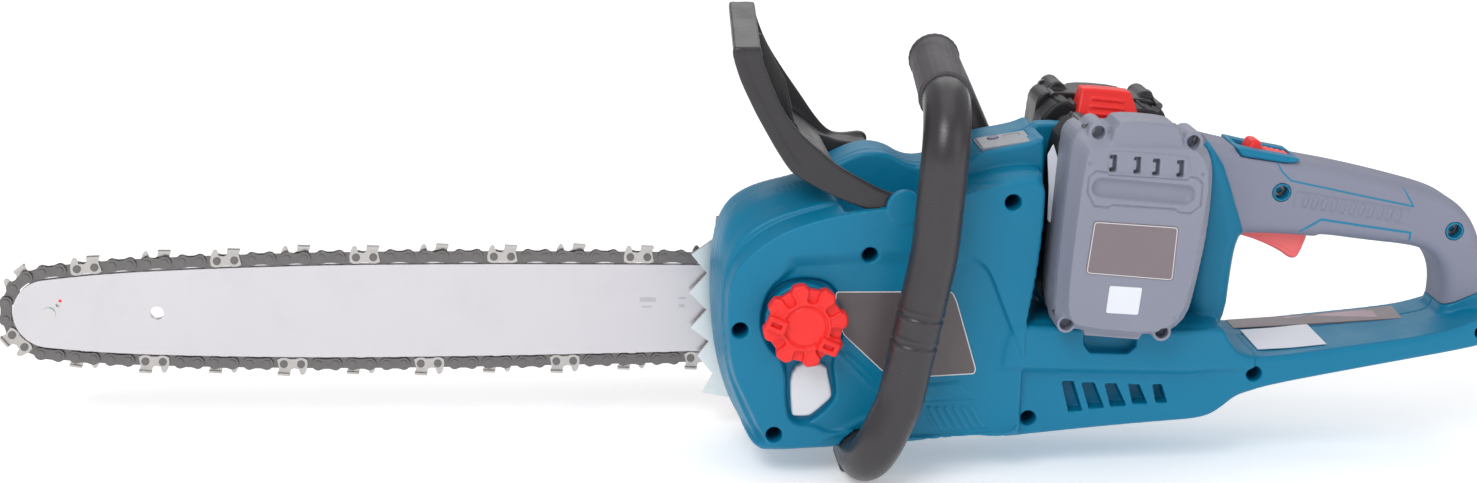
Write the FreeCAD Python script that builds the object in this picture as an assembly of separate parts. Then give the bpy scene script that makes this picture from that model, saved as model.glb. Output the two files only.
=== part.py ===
# Cordless chainsaw with two batteries and the guide bar on its right side.
# Frame: millimetres, +Z up, bar pointing along -X (forward), operator's left is -Y.
# Origin: centre of the flat ribbed sole under the motor housing.
# Outlines are lists of (x, z) and are extruded along Y; axis places are (x, z) too.
import FreeCAD, Part
import math
import os

vec = FreeCAD.Vector
ORIGIN = vec(0, 0, 0)
Y_AXIS = vec(0, 1, 0)
Z_AXIS = vec(0, 0, 1)
os.makedirs("parts", exist_ok=True)

# ---------------------------------------------------------------- driving dimensions
PITCH = 9.525            # 3/8 in low-profile chain: rivet to rivet
N_DRIVE = 56             # drive links in the loop
BAR_Z = 55.0             # height of the bar axis over the sole
BAR_Y = 38.0             # mid-plane of the guide bar
BAR_T = 4.2              # guide bar thickness
BAR_Y0, BAR_Y1 = BAR_Y - BAR_T / 2, BAR_Y + BAR_T / 2
NOSE = (-508.8, BAR_Z)   # nose sprocket axis
NOSE_R = 19.5            # bar edge radius at the nose
RIVET_OFF = 4.3          # rivet line outside the bar rail
SPR_PITCH_R = 18.6       # rivet radius on the drive sprocket
SPR_TEETH = 6
NOSE_TEETH = 8
BODY_Y0 = -50.0          # left face of the motor housing
BODY_Y1 = 30.0           # right face of the motor housing
BASE_Y0 = -40.0          # left face of the rear base
HANDLE_W = 17.5          # half width of the rear handle, with its overmould
WALL = 3.0               # housing wall
TUBE_R = 13.0            # front handle tube radius
SHAFT_R = 3.97           # drive shaft radius, and the bores fixed on it
CAP = (-99.0, 74.0)      # oil cap axis
CAP_R = 23.0
STUD = (-94.0, BAR_Z)    # bar stud
TENSION_HOLE = (-98, BAR_Z + 14.5)
PAD_HOLES = [(-110, BAR_Z - 14), (-82, BAR_Z + 14)]
SPIKE_BOLTS = [(-128, 16), (-128, 92)]
CATCHER_BOLT = (-114.5, 5.5)
OIL_PORT = (-100, 24)    # pickup pipe from the tank to the pump
GUARD = (-47.0, 135.5)   # hand guard pivot
TRIGGER = (148.0, 116.0)  # trigger pivot
LOCK = (160.0, 153.9)    # lock-off button, in the handle top
LOCK_TILT = 13.2
HANDLE_PAD = (18, 126)   # right-hand mount of the front handle
FOOT_X, FOOT_Z = -66.0, -2.0   # lower run of the front handle, let into the sole
FOOT_SCREWS_Y = (-20, -34)
PANEL_TILT = -9.0
PANEL_CENTRE = (12, 163)


# ---------------------------------------------------------------- helpers
def outline_wire(points, y):
    corners = [vec(x, y, z) for x, z in points]
    return Part.makePolygon(corners + [corners[0]])


def prism(points, y0, y1):
    return Part.Face(outline_wire(points, y0)).extrude(vec(0, y1 - y0, 0))


def frustum(points0, y0, points1, y1):
    return Part.makeLoft([outline_wire(points0, y0), outline_wire(points1, y1)], True, True)


def box(x0, x1, y0, y1, z0, z1):
    return Part.makeBox(x1 - x0, y1 - y0, z1 - z0, vec(x0, y0, z0))


def cyl(x, z, radius, y0, y1):
    """Cylinder along Y."""
    return Part.makeCylinder(radius, y1 - y0, vec(x, y0, z), Y_AXIS)


def ring(x, z, bore, radius, y0, y1):
    return cyl(x, z, radius, y0, y1).cut(cyl(x, z, bore, y0 - 1, y1 + 1))


def upright(y, radius, z0, height):
    """Cylinder along Z under the front handle's lower run."""
    return Part.makeCylinder(radius, height, vec(FOOT_X, y, z0), Z_AXIS)


def tilt(shape, degrees, centre):
    """Turn a shape in place about the Y line through centre."""
    shape.rotate(vec(centre[0], 0, centre[1]), Y_AXIS, degrees)
    return shape


def swing(shape, degrees, centre):
    """Turn a shape about the origin, then carry it to centre."""
    shape.rotate(ORIGIN, Y_AXIS, degrees)
    shape.translate(vec(centre[0], 0, centre[1]))
    return shape


def on_circle(centre, radius, degrees):
    angle = math.radians(degrees)
    return (centre[0] + radius * math.cos(angle), centre[1] + radius * math.sin(angle))


def area(points):
    return sum(points[i - 1][0] * points[i][1] - points[i][0] * points[i - 1][1]
               for i in range(len(points))) / 2


def inset(points, distance):
    """Miter offset of a closed polygon, inward for positive distance."""
    side = 1 if area(points) > 0 else -1
    result = []
    for i in range(len(points)):
        (x0, z0), (x1, z1), (x2, z2) = points[i - 1], points[i], points[(i + 1) % len(points)]
        before, after = (x1 - x0, z1 - z0), (x2 - x1, z2 - z1)
        len0, len1 = math.hypot(*before), math.hypot(*after)
        normal0 = (-before[1] / len0 * side, before[0] / len0 * side)
        normal1 = (-after[1] / len1 * side, after[0] / len1 * side)
        miter = max(1 + normal0[0] * normal1[0] + normal0[1] * normal1[1], 0.35)
        result.append((x1 + distance * (normal0[0] + normal1[0]) / miter,
                       z1 + distance * (normal0[1] + normal1[1]) / miter))
    return result


def fuse(first, *others):
    return first.multiFuse(list(others))


def cleaned(shape):
    # Merging faces may fail on some boolean results; the shape is then used as it is.
    try:
        return shape.removeSplitter()
    except Exception:
        return shape


def biggest(shape):
    return max(cleaned(shape).Solids, key=lambda solid: solid.Volume)


def save(name, shape):
    solids = cleaned(shape).Solids
    shape = solids[0] if len(solids) == 1 else Part.makeCompound(solids)
    shape.exportStep("parts/%s.step" % name)


def save_all(name, solids):
    save(name, Part.makeCompound(solids))


def tube_path(points, radii):
    """Wire through (x, y, z) points with arc corners of the given radii."""
    edges, last = [], vec(*points[0])
    for i in range(1, len(points) - 1):
        before, corner, after = vec(*points[i - 1]), vec(*points[i]), vec(*points[i + 1])
        back, ahead = (before - corner).normalize(), (after - corner).normalize()
        half_angle = back.getAngle(ahead) / 2
        radius = radii[i - 1]
        trim = radius / math.tan(half_angle)
        start, end = corner + back * trim, corner + ahead * trim
        bisector = (back + ahead).normalize()
        centre = corner + bisector * (radius / math.sin(half_angle))
        edges.append(Part.LineSegment(last, start).toShape())
        edges.append(Part.Arc(start, centre - bisector * radius, end).toShape())
        last = end
    edges.append(Part.LineSegment(last, vec(*points[-1])).toShape())
    return Part.Wire(edges)


def sweep(wire, radius):
    edge = wire.Edges[0]
    start = edge.valueAt(edge.FirstParameter)
    direction = edge.tangentAt(edge.FirstParameter)
    section = Part.Wire([Part.Circle(start, direction, radius).toShape()])
    return wire.makePipeShell([section], True, False)


def coil_spring(start, direction, radius, wire_radius, pitch, turns):
    helix = Part.makeHelix(pitch, pitch * turns, radius)
    section = Part.Wire([Part.Circle(vec(radius, 0, 0), Y_AXIS, wire_radius).toShape()])
    spring = Part.Wire(helix.Edges).makePipeShell([section], True, True)
    spring.Placement = FreeCAD.Placement(
        vec(*start), FreeCAD.Rotation(Z_AXIS, vec(*direction)))
    return spring


def toothed_wheel(centre, teeth, root_r, tip_r, y0, y1, start=0.0, duty=0.55):
    points = []
    half = math.pi / teeth
    for i in range(teeth):
        angle = start + 2 * math.pi * i / teeth
        for turn, radius in ((-half * duty * 0.9, tip_r), (half * duty * 0.9, tip_r),
                             (half * (1 - 0.28), root_r), (half * (1 + 0.28), root_r)):
            points.append((centre[0] + radius * math.cos(angle + turn),
                           centre[1] + radius * math.sin(angle + turn)))
    return prism(points, y0, y1)


# ---------------------------------------------------------------- body outlines (x, z)
FRONT = [
    (-115, 0), (20, 0), (24, 3), (20.5, 76), (27, 150), (20, 152), (-5, 147), (-24, 138),
    (-36, 126.5), (-60, 126), (-80, 126.5), (-97, 129), (-114, 131), (-137, 122), (-147, 110),
    (-151, 88), (-150, 72), (-146, 56), (-139, 39), (-121, 6)]
# left face of the motor housing, at the small end of its tapered flank
FACE = [
    (-108, 4), (17, 4), (20, 8), (17, 76), (23, 138), (12, 140), (-8, 136), (-24, 130),
    (-36, 124), (-58, 124), (-78, 124), (-94, 124), (-106, 123), (-123, 115), (-129, 104),
    (-134, 88), (-134, 72), (-131, 56), (-126, 41), (-112, 9)]
HUMP = [
    (-97, 120), (-97, 138.5), (-78, 149.5), (-67, 155), (-57, 156.3), (-48, 154),
    (-41, 148.5), (-33, 146.5), (-24, 148), (-2, 162), (22, 166), (27, 168), (27, 120)]
LOWER = [
    (10, 0), (34, 3.5), (105, 8), (118, 11), (155, 25.5), (283, 54), (290, 60), (289, 68),
    (262, 60), (200, 50), (150, 46), (136, 58), (108, 65), (30, 70.5), (10, 71)]
LOWER_SIDE = [(20, 3), (112, 10), (112, 64), (30, 70.5), (20, 71)]
TOP_WEB = [(20, 60), (27, 168), (31, 171), (130, 160.7), (130, 60)]
HANDLE_OUT = [
    (114, 60), (150, 26), (283, 54), (290, 61), (288, 80), (285, 97), (279, 115), (270, 126),
    (258, 132.5), (231, 139.5), (201, 146.5), (181, 150.3), (132, 160.5), (114, 162)]
OPENING = [
    (137, 50), (200, 54), (258, 60), (264, 66), (264, 80), (261, 91), (254, 99.5),
    (244, 103), (192, 109), (148, 110.5), (141, 108), (139, 97)]
# the stretch of the rear handle that carries the overmould
GRIP_REGION = [
    (116, 190), (122, 163), (131, 149.5), (139, 127), (147.5, 110), (150, 84),
    (200, 84), (250, 66), (270, 64), (300, 80), (310, 190)]
HANDLE_CORE = inset(HANDLE_OUT, 2.5)
OPEN_CORE = inset(OPENING, -2.5)
PAD = [(-118, BAR_Z - 21), (-76, BAR_Z - 21), (-76, BAR_Z + 21), (-118, BAR_Z + 21)]
# oil level window, let into the left face
WINDOW = [
    (-105.3, 49.2), (-86.5, 49.2), (-84.4, 40.5), (-82.4, 31.5), (-83.6, 28.8),
    (-93.0, 20.2), (-95.5, 19.4), (-102.4, 19.4), (-104.2, 20.6)]

# ---------------------------------------------------------------- bar and chain path
# upper edge behind the nose arc: x, height over the bar axis; the lower edge mirrors it
BAR_EDGE = [
    (-497, 20.9), (-481, 22.4), (-459, 23.8), (-430, 25.0), (-404, 25.8), (-365, 26.7),
    (-327, 27.0), (-260, 26.8), (-182, 25.9), (-140, 25.2), (-110, 24.0), (-92, 22.0),
    (-78, 18.5), (-71, 13.0), (-68, 6.0)]


def bar_profile():
    top = [on_circle((NOSE[0], 0), NOSE_R, 180 - k * 4.6) for k in range(19)] + BAR_EDGE
    return ([(x, BAR_Z + height) for x, height in top]
            + [(x, BAR_Z - height) for x, height in reversed(top[1:])])


def convex_hull(points):
    """Counter-clockwise hull, starting at its leftmost point."""
    points = sorted(set(points))

    def half(ordered):
        chain = []
        for p in ordered:
            while len(chain) > 1 and (
                    (chain[-1][0] - chain[-2][0]) * (p[1] - chain[-2][1])
                    - (chain[-1][1] - chain[-2][1]) * (p[0] - chain[-2][0])) <= 0:
                chain.pop()
            chain.append(p)
        return chain
    return half(points)[:-1] + half(list(reversed(points)))[:-1]


BAR_OUTLINE = bar_profile()


def chain_path(sprocket_x):
    """Rivet line round the bar, the nose and a drive sprocket at sprocket_x."""
    points = inset(BAR_OUTLINE, -RIVET_OFF)
    points += [on_circle(NOSE, NOSE_R + RIVET_OFF, k) for k in range(90, 271, 3)]
    points += [on_circle((sprocket_x, BAR_Z), SPR_PITCH_R, k) for k in range(-120, 121, 2)]
    return convex_hull([(round(x, 5), round(z, 5)) for x, z in points])


def perimeter(points):
    return sum(math.dist(points[i - 1], points[i]) for i in range(len(points)))


def solve_sprocket_x():
    """Sprocket place at which the rivet line holds the whole number of links."""
    low, high = -80.0, 0.0
    for _ in range(50):
        middle = (low + high) / 2
        if perimeter(chain_path(middle)) < PITCH * 2 * N_DRIVE:
            low = middle
        else:
            high = middle
    return round((low + high) / 2, 2)


SPR_X = solve_sprocket_x()
AXIS = (SPR_X, BAR_Z)      # motor, fan, brake drum and drive sprocket axis

# ---------------------------------------------------------------- guide bar
THROUGH_BAR = (30, 46)     # y range of the holes through the bar
GROOVE = (BAR_Y - 0.66, BAR_Y + 0.66)
bar = fuse(prism(BAR_OUTLINE, BAR_Y0, GROOVE[0]),
           prism(inset(BAR_OUTLINE, 6.0), *GROOVE),
           prism(BAR_OUTLINE, GROOVE[1], BAR_Y1))
bar = bar.cut(cyl(*NOSE, 16.6, *GROOVE))
bar = bar.cut(cyl(*NOSE, 3.0, *THROUGH_BAR))
bar = bar.cut(cyl(-450.0, BAR_Z, 3.75, *THROUGH_BAR))          # hanging hole
bar = bar.cut(cyl(-503.6, BAR_Z + 5.2, 1.1, *THROUGH_BAR))     # grease hole
SLOT_X0, SLOT_X1, SLOT_R = -112, -84, 4.1
slot = fuse(box(SLOT_X0, SLOT_X1, *THROUGH_BAR, BAR_Z - SLOT_R, BAR_Z + SLOT_R),
            cyl(SLOT_X0, BAR_Z, SLOT_R, *THROUGH_BAR), cyl(SLOT_X1, BAR_Z, SLOT_R, *THROUGH_BAR))
bar = bar.cut(slot)
for z in (BAR_Z + 14.5, BAR_Z - 14.5):
    bar = bar.cut(cyl(TENSION_HOLE[0], z, 2.6, *THROUGH_BAR))
save("guide_bar", bar)

save("nose_bearing_rivet", fuse(
    cyl(*NOSE, 3.0, BAR_Y0 - 0.5, BAR_Y1 + 0.5),
    cyl(*NOSE, 3.7, BAR_Y0 - 0.6, BAR_Y0), cyl(*NOSE, 3.7, BAR_Y1, BAR_Y1 + 0.6)))
nose_wheel = toothed_wheel(NOSE, NOSE_TEETH, 9.5, 14.7, BAR_Y - 0.55, BAR_Y + 0.55)
save("nose_sprocket", nose_wheel.cut(cyl(*NOSE, 3.06, *THROUGH_BAR)))

# ---------------------------------------------------------------- chain
# The path is counter-clockwise, so the top run goes towards the nose (-X).
path = chain_path(SPR_X)
run_length = [0.0]
for i in range(1, len(path) + 1):
    run_length.append(run_length[-1] + math.dist(path[i - 1], path[i % len(path)]))


def point_at(distance):
    distance %= run_length[-1]
    for i in range(len(path)):
        if run_length[i] <= distance <= run_length[i + 1]:
            part = (distance - run_length[i]) / (run_length[i + 1] - run_length[i])
            start, end = path[i], path[(i + 1) % len(path)]
            return (start[0] + (end[0] - start[0]) * part, start[1] + (end[1] - start[1]) * part)


RIVET_STEP = run_length[-1] / (2 * N_DRIVE)
RIVET_START = 3.0          # first rivet, along the path from its leftmost point
RIVETS = [point_at(i * RIVET_STEP + RIVET_START) for i in range(2 * N_DRIVE)]


def place_link(i, points):
    """Lay a link outline between rivets i and i + 1."""
    start, end = RIVETS[i], RIVETS[(i + 1) % len(RIVETS)]
    length = math.dist(start, end)
    along = ((end[0] - start[0]) / length, (end[1] - start[1]) / length)
    outward = (along[1], -along[0])
    return [(start[0] + along[0] * (length / 2 + run) + outward[0] * height,
             start[1] + along[1] * (length / 2 + run) + outward[1] * height)
            for run, height in points]


def arc(x, z, radius, start, end, steps):
    return [on_circle((x, z), radius, start + (end - start) * k / steps)
            for k in range(steps + 1)]


# link outlines: distance along the path from mid-link, height out from the rivet line
HALF = PITCH / 2 - 0.05
STRAP = (arc(-HALF, 0, 3.7, 250, 90, 6) + [(-1.6, 2.7), (1.6, 2.7)]
         + arc(HALF, 0, 3.7, 90, -70, 6) + [(1.8, -2.9), (-1.8, -2.9)])
DRIVE_LINK = (arc(-HALF, 0, 3.5, 200, 90, 5) + [(-1.4, 2.6), (1.4, 2.6)]
              + arc(HALF, 0, 3.5, 90, -20, 5)
              + [(4.2, -3.6), (1.2, -8.3), (-1.4, -8.3), (-4.4, -3.6)])
# side plate with the cutting corner at its trailing end and the depth gauge ahead
CUTTER = [
    (-8.4, -2.6), (-6.2, -3.6), (-3.6, -3.6), (-1.8, -2.9), (1.8, -2.9), (3.6, -3.6),
    (6.2, -3.6), (8.2, -2.6), (8.4, 0.5), (7.6, 4.0), (6.6, 5.9), (5.2, 6.4), (4.2, 5.4),
    (3.6, 2.9), (1.0, 2.4), (-0.8, 3.2), (-1.4, 6.6), (-8.2, 6.2), (-7.4, 2.9)]
TOP_PLATE = [(-8.2, 5.0), (-1.4, 5.4), (-1.4, 6.6), (-8.2, 6.2)]
PLATE_IN, PLATE_OUT = 0.72, 1.95     # side plate faces from the bar mid-plane
PLATE_OVER = 1.3                     # top plate beyond its side plate
# per side: which link of every four is a cutter, side plate y range, top plate y range
CHAIN_SIDES = [
    (0, BAR_Y - PLATE_OUT, BAR_Y - PLATE_IN, BAR_Y - PLATE_OUT - PLATE_OVER, BAR_Y + 0.3),
    (2, BAR_Y + PLATE_IN, BAR_Y + PLATE_OUT, BAR_Y - 0.3, BAR_Y + PLATE_OUT + PLATE_OVER)]
drive_links, straps, cutters = [], [], []
for k in range(N_DRIVE):
    drive_links.append(prism(place_link(2 * k, DRIVE_LINK), BAR_Y - 0.62, BAR_Y + 0.62))
    for turn, y0, y1, top_y0, top_y1 in CHAIN_SIDES:
        if k % 4 == turn:
            plate = prism(place_link(2 * k + 1, CUTTER), y0, y1)
            plate = plate.fuse(prism(place_link(2 * k + 1, TOP_PLATE), top_y0, top_y1))
            cutters.append(biggest(plate))
        else:
            straps.append(prism(place_link(2 * k + 1, STRAP), y0, y1))
rivet_holes = [cyl(x, z, 1.6, BAR_Y - 2.5, BAR_Y + 2.5) for x, z in RIVETS]


def punched(links):
    """Cut the rivet holes that lie near each link."""
    result = []
    for link in links:
        bounds = link.BoundBox
        near = [hole for hole, (x, z) in zip(rivet_holes, RIVETS)
                if bounds.XMin - 1 < x < bounds.XMax + 1
                and bounds.ZMin - 1 < z < bounds.ZMax + 1]
        result.append(link.cut(Part.makeCompound(near)).Solids[0])
    return result


def chain_rivet(x, z):
    rivet = fuse(cyl(x, z, 1.57, BAR_Y - 2.3, BAR_Y + 2.3),
                 cyl(x, z, 2.2, BAR_Y - 2.45, BAR_Y - 2.0),
                 cyl(x, z, 2.2, BAR_Y + 2.0, BAR_Y + 2.45))
    return rivet.removeSplitter().Solids[0]


save_all("chain_drive_links", punched(drive_links))
save_all("chain_tie_straps", punched(straps))
save_all("chain_cutters", punched(cutters))
save_all("chain_rivets", [chain_rivet(x, z) for x, z in RIVETS])

# ---------------------------------------------------------------- drive train
shaft = fuse(cyl(*AXIS, SHAFT_R, -46, 46), cyl(*AXIS, 5.0, 14.2, 16.8))
save("drive_shaft", shaft.cut(ring(*AXIS, 3.3, 6, 44.6, 45.4)))

rotor = ring(*AXIS, 31.0, 35.0, -30, 3.5)
rotor = fuse(rotor, ring(*AXIS, SHAFT_R, 35.0, -33, -30), ring(*AXIS, SHAFT_R, 7.5, -34, -27))
for k in range(6):
    rotor = rotor.cut(cyl(*on_circle(AXIS, 20, 60 * k), 6, -36, -29.5))
save("motor_rotor", rotor)

STATOR_POLES = 9
stator = ring(*AXIS, 9.0, 15.0, -25, 5.4)
windings = []
for k in range(STATOR_POLES):
    pole = box(10, 25, -23, 1, -3, 3).fuse(box(24, 29.6, -23, 1, -8, 8))
    stator = stator.fuse(swing(pole, 360 / STATOR_POLES * k, AXIS))
    winding = box(15.6, 23.6, -25, 3, -4.6, 4.6).cut(box(14, 25, -22.0, 0.0, -2.0, 2.0))
    windings.append(swing(winding, 360 / STATOR_POLES * k, AXIS).Solids[0])
stator = stator.common(cyl(*AXIS, 30.2, -40, 20))
save("motor_stator", biggest(stator.multiFuse(windings)))

FAN_BLADES = 11
fan = ring(*AXIS, SHAFT_R, 8.0, -40.5, -34.2)
fan = fan.fuse(ring(*AXIS, SHAFT_R, 33.0, -35.4, -34.2))
for k in range(FAN_BLADES):
    blade = tilt(box(7, 32, -40.0, -35.0, -0.7, 0.7), 18, (7, 0))
    fan = fan.fuse(swing(blade, 360 / FAN_BLADES * k, AXIS))
save("cooling_fan", biggest(fan.common(cyl(*AXIS, 33, -50, 0))))

save("brake_drum", fuse(ring(*AXIS, 27.5, 30.0, 17, 26.4), ring(*AXIS, SHAFT_R, 30.0, 17, 19),
                        ring(*AXIS, SHAFT_R, 9.0, 17, 28.9)))
# two toothed rims leave a slot between them for the drive links
rims = [toothed_wheel(AXIS, SPR_TEETH, 9.9, 13.8, y, y + 4.2, math.radians(30), 0.62)
        for y in (32.8, 39.0)]
sprocket = fuse(*rims, cyl(*AXIS, 9.2, 29.0, 44.4))
save("drive_sprocket", sprocket.cut(cyl(*AXIS, SHAFT_R, 20, 60)))
clip_gap = box(SPR_X - 2.4, SPR_X + 2.4, 44, 46, BAR_Z - 9, BAR_Z)
save("sprocket_clip", ring(*AXIS, 3.35, 6.6, 44.65, 45.35).cut(clip_gap))
save_all("motor_bearings", [ring(*AXIS, 4.0, 11.0, 7, 14).Solids[0],
                            ring(*AXIS, 4.0, 9.5, -46.5, -41.5).Solids[0]])

band = ring(*AXIS, 30.7, 31.7, 18, 26)
band = band.cut(prism([AXIS, (SPR_X - 40, BAR_Z + 34), (SPR_X - 40, BAR_Z + 14)], 10, 30))
tabs = [swing(box(30.8, 36.5, 19.5, 24.5, -0.8, 0.8), -angle, AXIS) for angle in (139.0, 160.0)]
save("brake_band", biggest(fuse(band, *tabs)))
save("brake_spring", coil_spring((-104, 22, 99), (1, 0, 0), radius=3.2, wire_radius=0.7,
                                 pitch=2.4, turns=13))

# ---------------------------------------------------------------- motor frame and bar mount
FRAME = [(-122, 18), (-96, 14), (-6, 14), (2, 30), (2, 84), (-8, 96), (-96, 96),
         (-122, 88), (-126, 60)]
frame = prism(FRAME, 7, 14)
frame = frame.cut(cyl(*AXIS, 11.0, 0, 20))
stator_sleeve = ring(*AXIS, 5.2, 8.9, -24, 6.9).fuse(ring(*AXIS, 5.2, 10.5, 5.5, 7.0))
frame = fuse(frame, stator_sleeve, ring(*AXIS, 11.0, 15.5, 7, 14.0))
for z in (25, 85):
    for x in (-90, -70, -14):
        frame = frame.cut(cyl(x, z, 5.0, 0, 20))
frame = frame.fuse(box(-118, -72, 14, 26.9, 40, 70)).cut(cyl(*STUD, 4.0, 10, 40))
frame = frame.cut(cyl(*AXIS, 38.0, 16, 40)).cut(cyl(*OIL_PORT, 3.0, 0, 20))
frame = frame.cut(cyl(2, 47, 3.4, 0, 20))      # motor cable
save("motor_frame", biggest(frame))

collar = cyl(*STUD, 6.0, 32.45, 35.8).cut(cyl(*STUD, 3.9, 30, 40))
save("bar_stud", fuse(cyl(*STUD, 4.0, 14.2, 71.0), collar))
pad = prism(PAD, 32.4, 35.85).cut(cyl(*STUD, 6.05, 30, 40)).cut(cyl(*TENSION_HOLE, 1.6, 30, 40))
for place in PAD_HOLES:
    pad = pad.cut(cyl(*place, 2.1, 30, 40))
save("bar_pad", pad)

SPIKES = [(-122, 2), (-136, 4.5), (-146.5, 6.5), (-140.5, 17.5), (-149.5, 28.6), (-143, 37),
          (-153.5, 45.3), (-144.5, 55.5), (-154.5, 65.9), (-144.5, 77), (-153.5, 88.2),
          (-140, 98), (-128, 102), (-122, 102)]
spikes = prism(SPIKES, 30.1, 32.3)
for place in SPIKE_BOLTS:
    spikes = spikes.cut(cyl(*place, 2.6, 28, 34))
save("bumper_spikes", spikes)
CATCHER = [(-121, -4), (-108, -4), (-106, 3), (-109, 11), (-120, 11), (-122, 3)]
save("chain_catcher", prism(CATCHER, 30.1, 44).cut(cyl(*CATCHER_BOLT, 2.6, 28, 50)))


def m5_screw(seat, direction):
    """M5 pan screw with a hex socket: head seated at seat, shank along direction."""
    seat, direction = vec(*seat), vec(*direction)
    screw = Part.makeCylinder(2.45, 12, seat, direction).fuse(
        Part.makeCylinder(4.6, 2.6, seat - direction * 2.6, direction))
    hexagon = Part.makePolygon([vec(*on_circle((0, 0), 1.9, 60 * k), 0) for k in range(7)])
    socket = Part.Face(hexagon).extrude(vec(0, 0, 1.5))
    socket.Placement = FreeCAD.Placement(
        seat - direction * 2.7, FreeCAD.Rotation(Z_AXIS, direction))
    return screw.cut(socket).removeSplitter().Solids[0]


save_all("m5_screws", (
    [m5_screw((x, 32.32, z), (0, -1, 0)) for x, z in SPIKE_BOLTS]
    + [m5_screw((FOOT_X, y, 3.0), (0, 0, 1)) for y in FOOT_SCREWS_Y]
    + [m5_screw((HANDLE_PAD[0], 36.0, HANDLE_PAD[1]), (0, -1, 0))]))

# ---------------------------------------------------------------- oil system
TANK = [(-106, 17), (-80, 17), (-80, 93), (-123, 93), (-123, 44)]
tank = fuse(prism(TANK, -44, 5), prism(inset(WINDOW, 0.35), -49.2, -44),
            cyl(*CAP, 17, -52.6, -44))
tank = tank.cut(prism(inset(TANK, 2.5), -41.5, 2.5)).cut(box(-101, -90, -47.0, -40, 24, 46))
tank = tank.cut(cyl(*CAP, 14.0, -60, -40))
tank = tank.cut(cyl(*OIL_PORT, 3.0, 0, 8))
save("oil_tank", biggest(tank))

CAP_Y0, CAP_Y1 = -61.5, -53.5      # cap rim
LOBE_R = 5.5
cap = fuse(cyl(*CAP, CAP_R - 1.2, CAP_Y0, CAP_Y1), cyl(*CAP, 13.85, -53.6, -41.0))
for k in range(8):
    lobe = on_circle(CAP, CAP_R - LOBE_R, 45 * k + 10)
    cap = cap.fuse(cyl(*lobe, LOBE_R, CAP_Y0, CAP_Y1))
finger_bar = swing(box(-CAP_R + 1.5, CAP_R - 1.5, -66.5, -61.4, -4.2, 4.2), 24, CAP)
cap = cap.fuse(finger_bar).cut(cyl(*CAP, 10.0, -66.6, -62.6)).cut(cyl(*CAP, 11.5, -51, -40))
save("oil_cap", biggest(cap))
save("oil_cap_seal", ring(*CAP, 14.0, 16.8, -53.4, -52.7))
pickup = fuse(cyl(*OIL_PORT, 4.5, -34, -16), cyl(*OIL_PORT, 2.9, -16.1, 13.9))
save("oil_pickup", pickup.cut(cyl(*OIL_PORT, 1.6, -17, 20)))
pump = fuse(box(-112, -84, 14.1, 24, 16, 36), cyl(-91, 29, 6.5, 14.1, 26.5))
save("oil_pump", biggest(pump.cut(cyl(*OIL_PORT, 3.0, 10, 16))))

# ---------------------------------------------------------------- housing, split at y = 0
BODY_SCREWS = [(-132.7, 68.6), (-113.5, 9.5), (-64.4, 109.5), (10.9, 138.0), (26.4, 14.5),
               (151.2, 38.0)]
HANDLE_SCREWS = [(166.4, 134.5), (266.1, 111.9), (277.5, 60.5)]
# cable runs: (x, y, z) points and corner radii
MOTOR_RUN = tube_path([(37, 3.5, 47), (4, 3.5, 47), (-4, 2, 96), (-2, 2, 110)], [8, 8])
SWITCH_RUN = tube_path([(99, 0, 30), (118, 0, 38), (122, 0, 100), (139, 0, 129.6),
                        (172.5, 0, 129.2)], [8, 14, 10])
# slanted slots in both flanks of the rear base
VENTS = [
    [(43.8, 35.9), (50.4, 35.8), (56.3, 18.5), (48.6, 18.1)],
    [(54.9, 34.3), (62.1, 34.2), (68.4, 20.1), (59.6, 19.6)],
    [(67.7, 33.3), (74.3, 33.2), (80.6, 21.1), (71.2, 20.6)],
    [(81.0, 33.2), (87.1, 32.7), (92.2, 22.1), (83.3, 22.2)],
    [(94.3, 33.0), (99.6, 32.6), (103.3, 21.9), (96.1, 22.6)]]
PANEL = (0.0, 24.0, -15.0, -2.0)     # control panel x0, x1, y0, y1
GUARD_X, GUARD_Z = GUARD
grip_zone = prism(GRIP_REGION, -30, 30)


def handle_core():
    return prism(HANDLE_CORE, -15, 15)


def lock_box(x0, x1, half_width, below, above):
    """Box round the lock-off button, tilted with the handle top."""
    x, z = LOCK
    return tilt(box(x - x0, x + x1, -half_width, half_width, z - below, z + above),
                LOCK_TILT, LOCK)


def housing_outer():
    core = prism(HANDLE_OUT, -15, 15).cut(prism(OPENING, -20, 20))
    thin = handle_core().cut(prism(OPEN_CORE, -20, 20))
    core = fuse(core.cut(grip_zone), thin.common(grip_zone))
    return fuse(prism(FRONT, -38, BODY_Y1), frustum(FRONT, -38, FACE, BODY_Y0),
                prism(HUMP, -18, 24), prism(LOWER, BASE_Y0, BODY_Y1),
                prism(TOP_WEB, -6, 6).cut(grip_zone), core, prism(LOWER_SIDE, -46, 20))


def housing_hollow():
    inner = inset(FRONT, WALL)
    return fuse(prism(inner, -35.5, BODY_Y1 - 2.6),
                frustum(inner, -35.5, inset(FACE, 2.6), BODY_Y0 + WALL),
                prism(inset(HUMP, WALL), -15, 21),
                prism(inset(LOWER, WALL), BASE_Y0 + WALL, BODY_Y1 - WALL),
                prism(inset(TOP_WEB, WALL), -3, 3),
                prism(inset(LOWER_SIDE, WALL), -43, 20),
                prism(inset(HANDLE_CORE, 2.6), -12.4, 12.4).cut(
                    prism(inset(OPEN_CORE, -2.6), -20, 20)))


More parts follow.
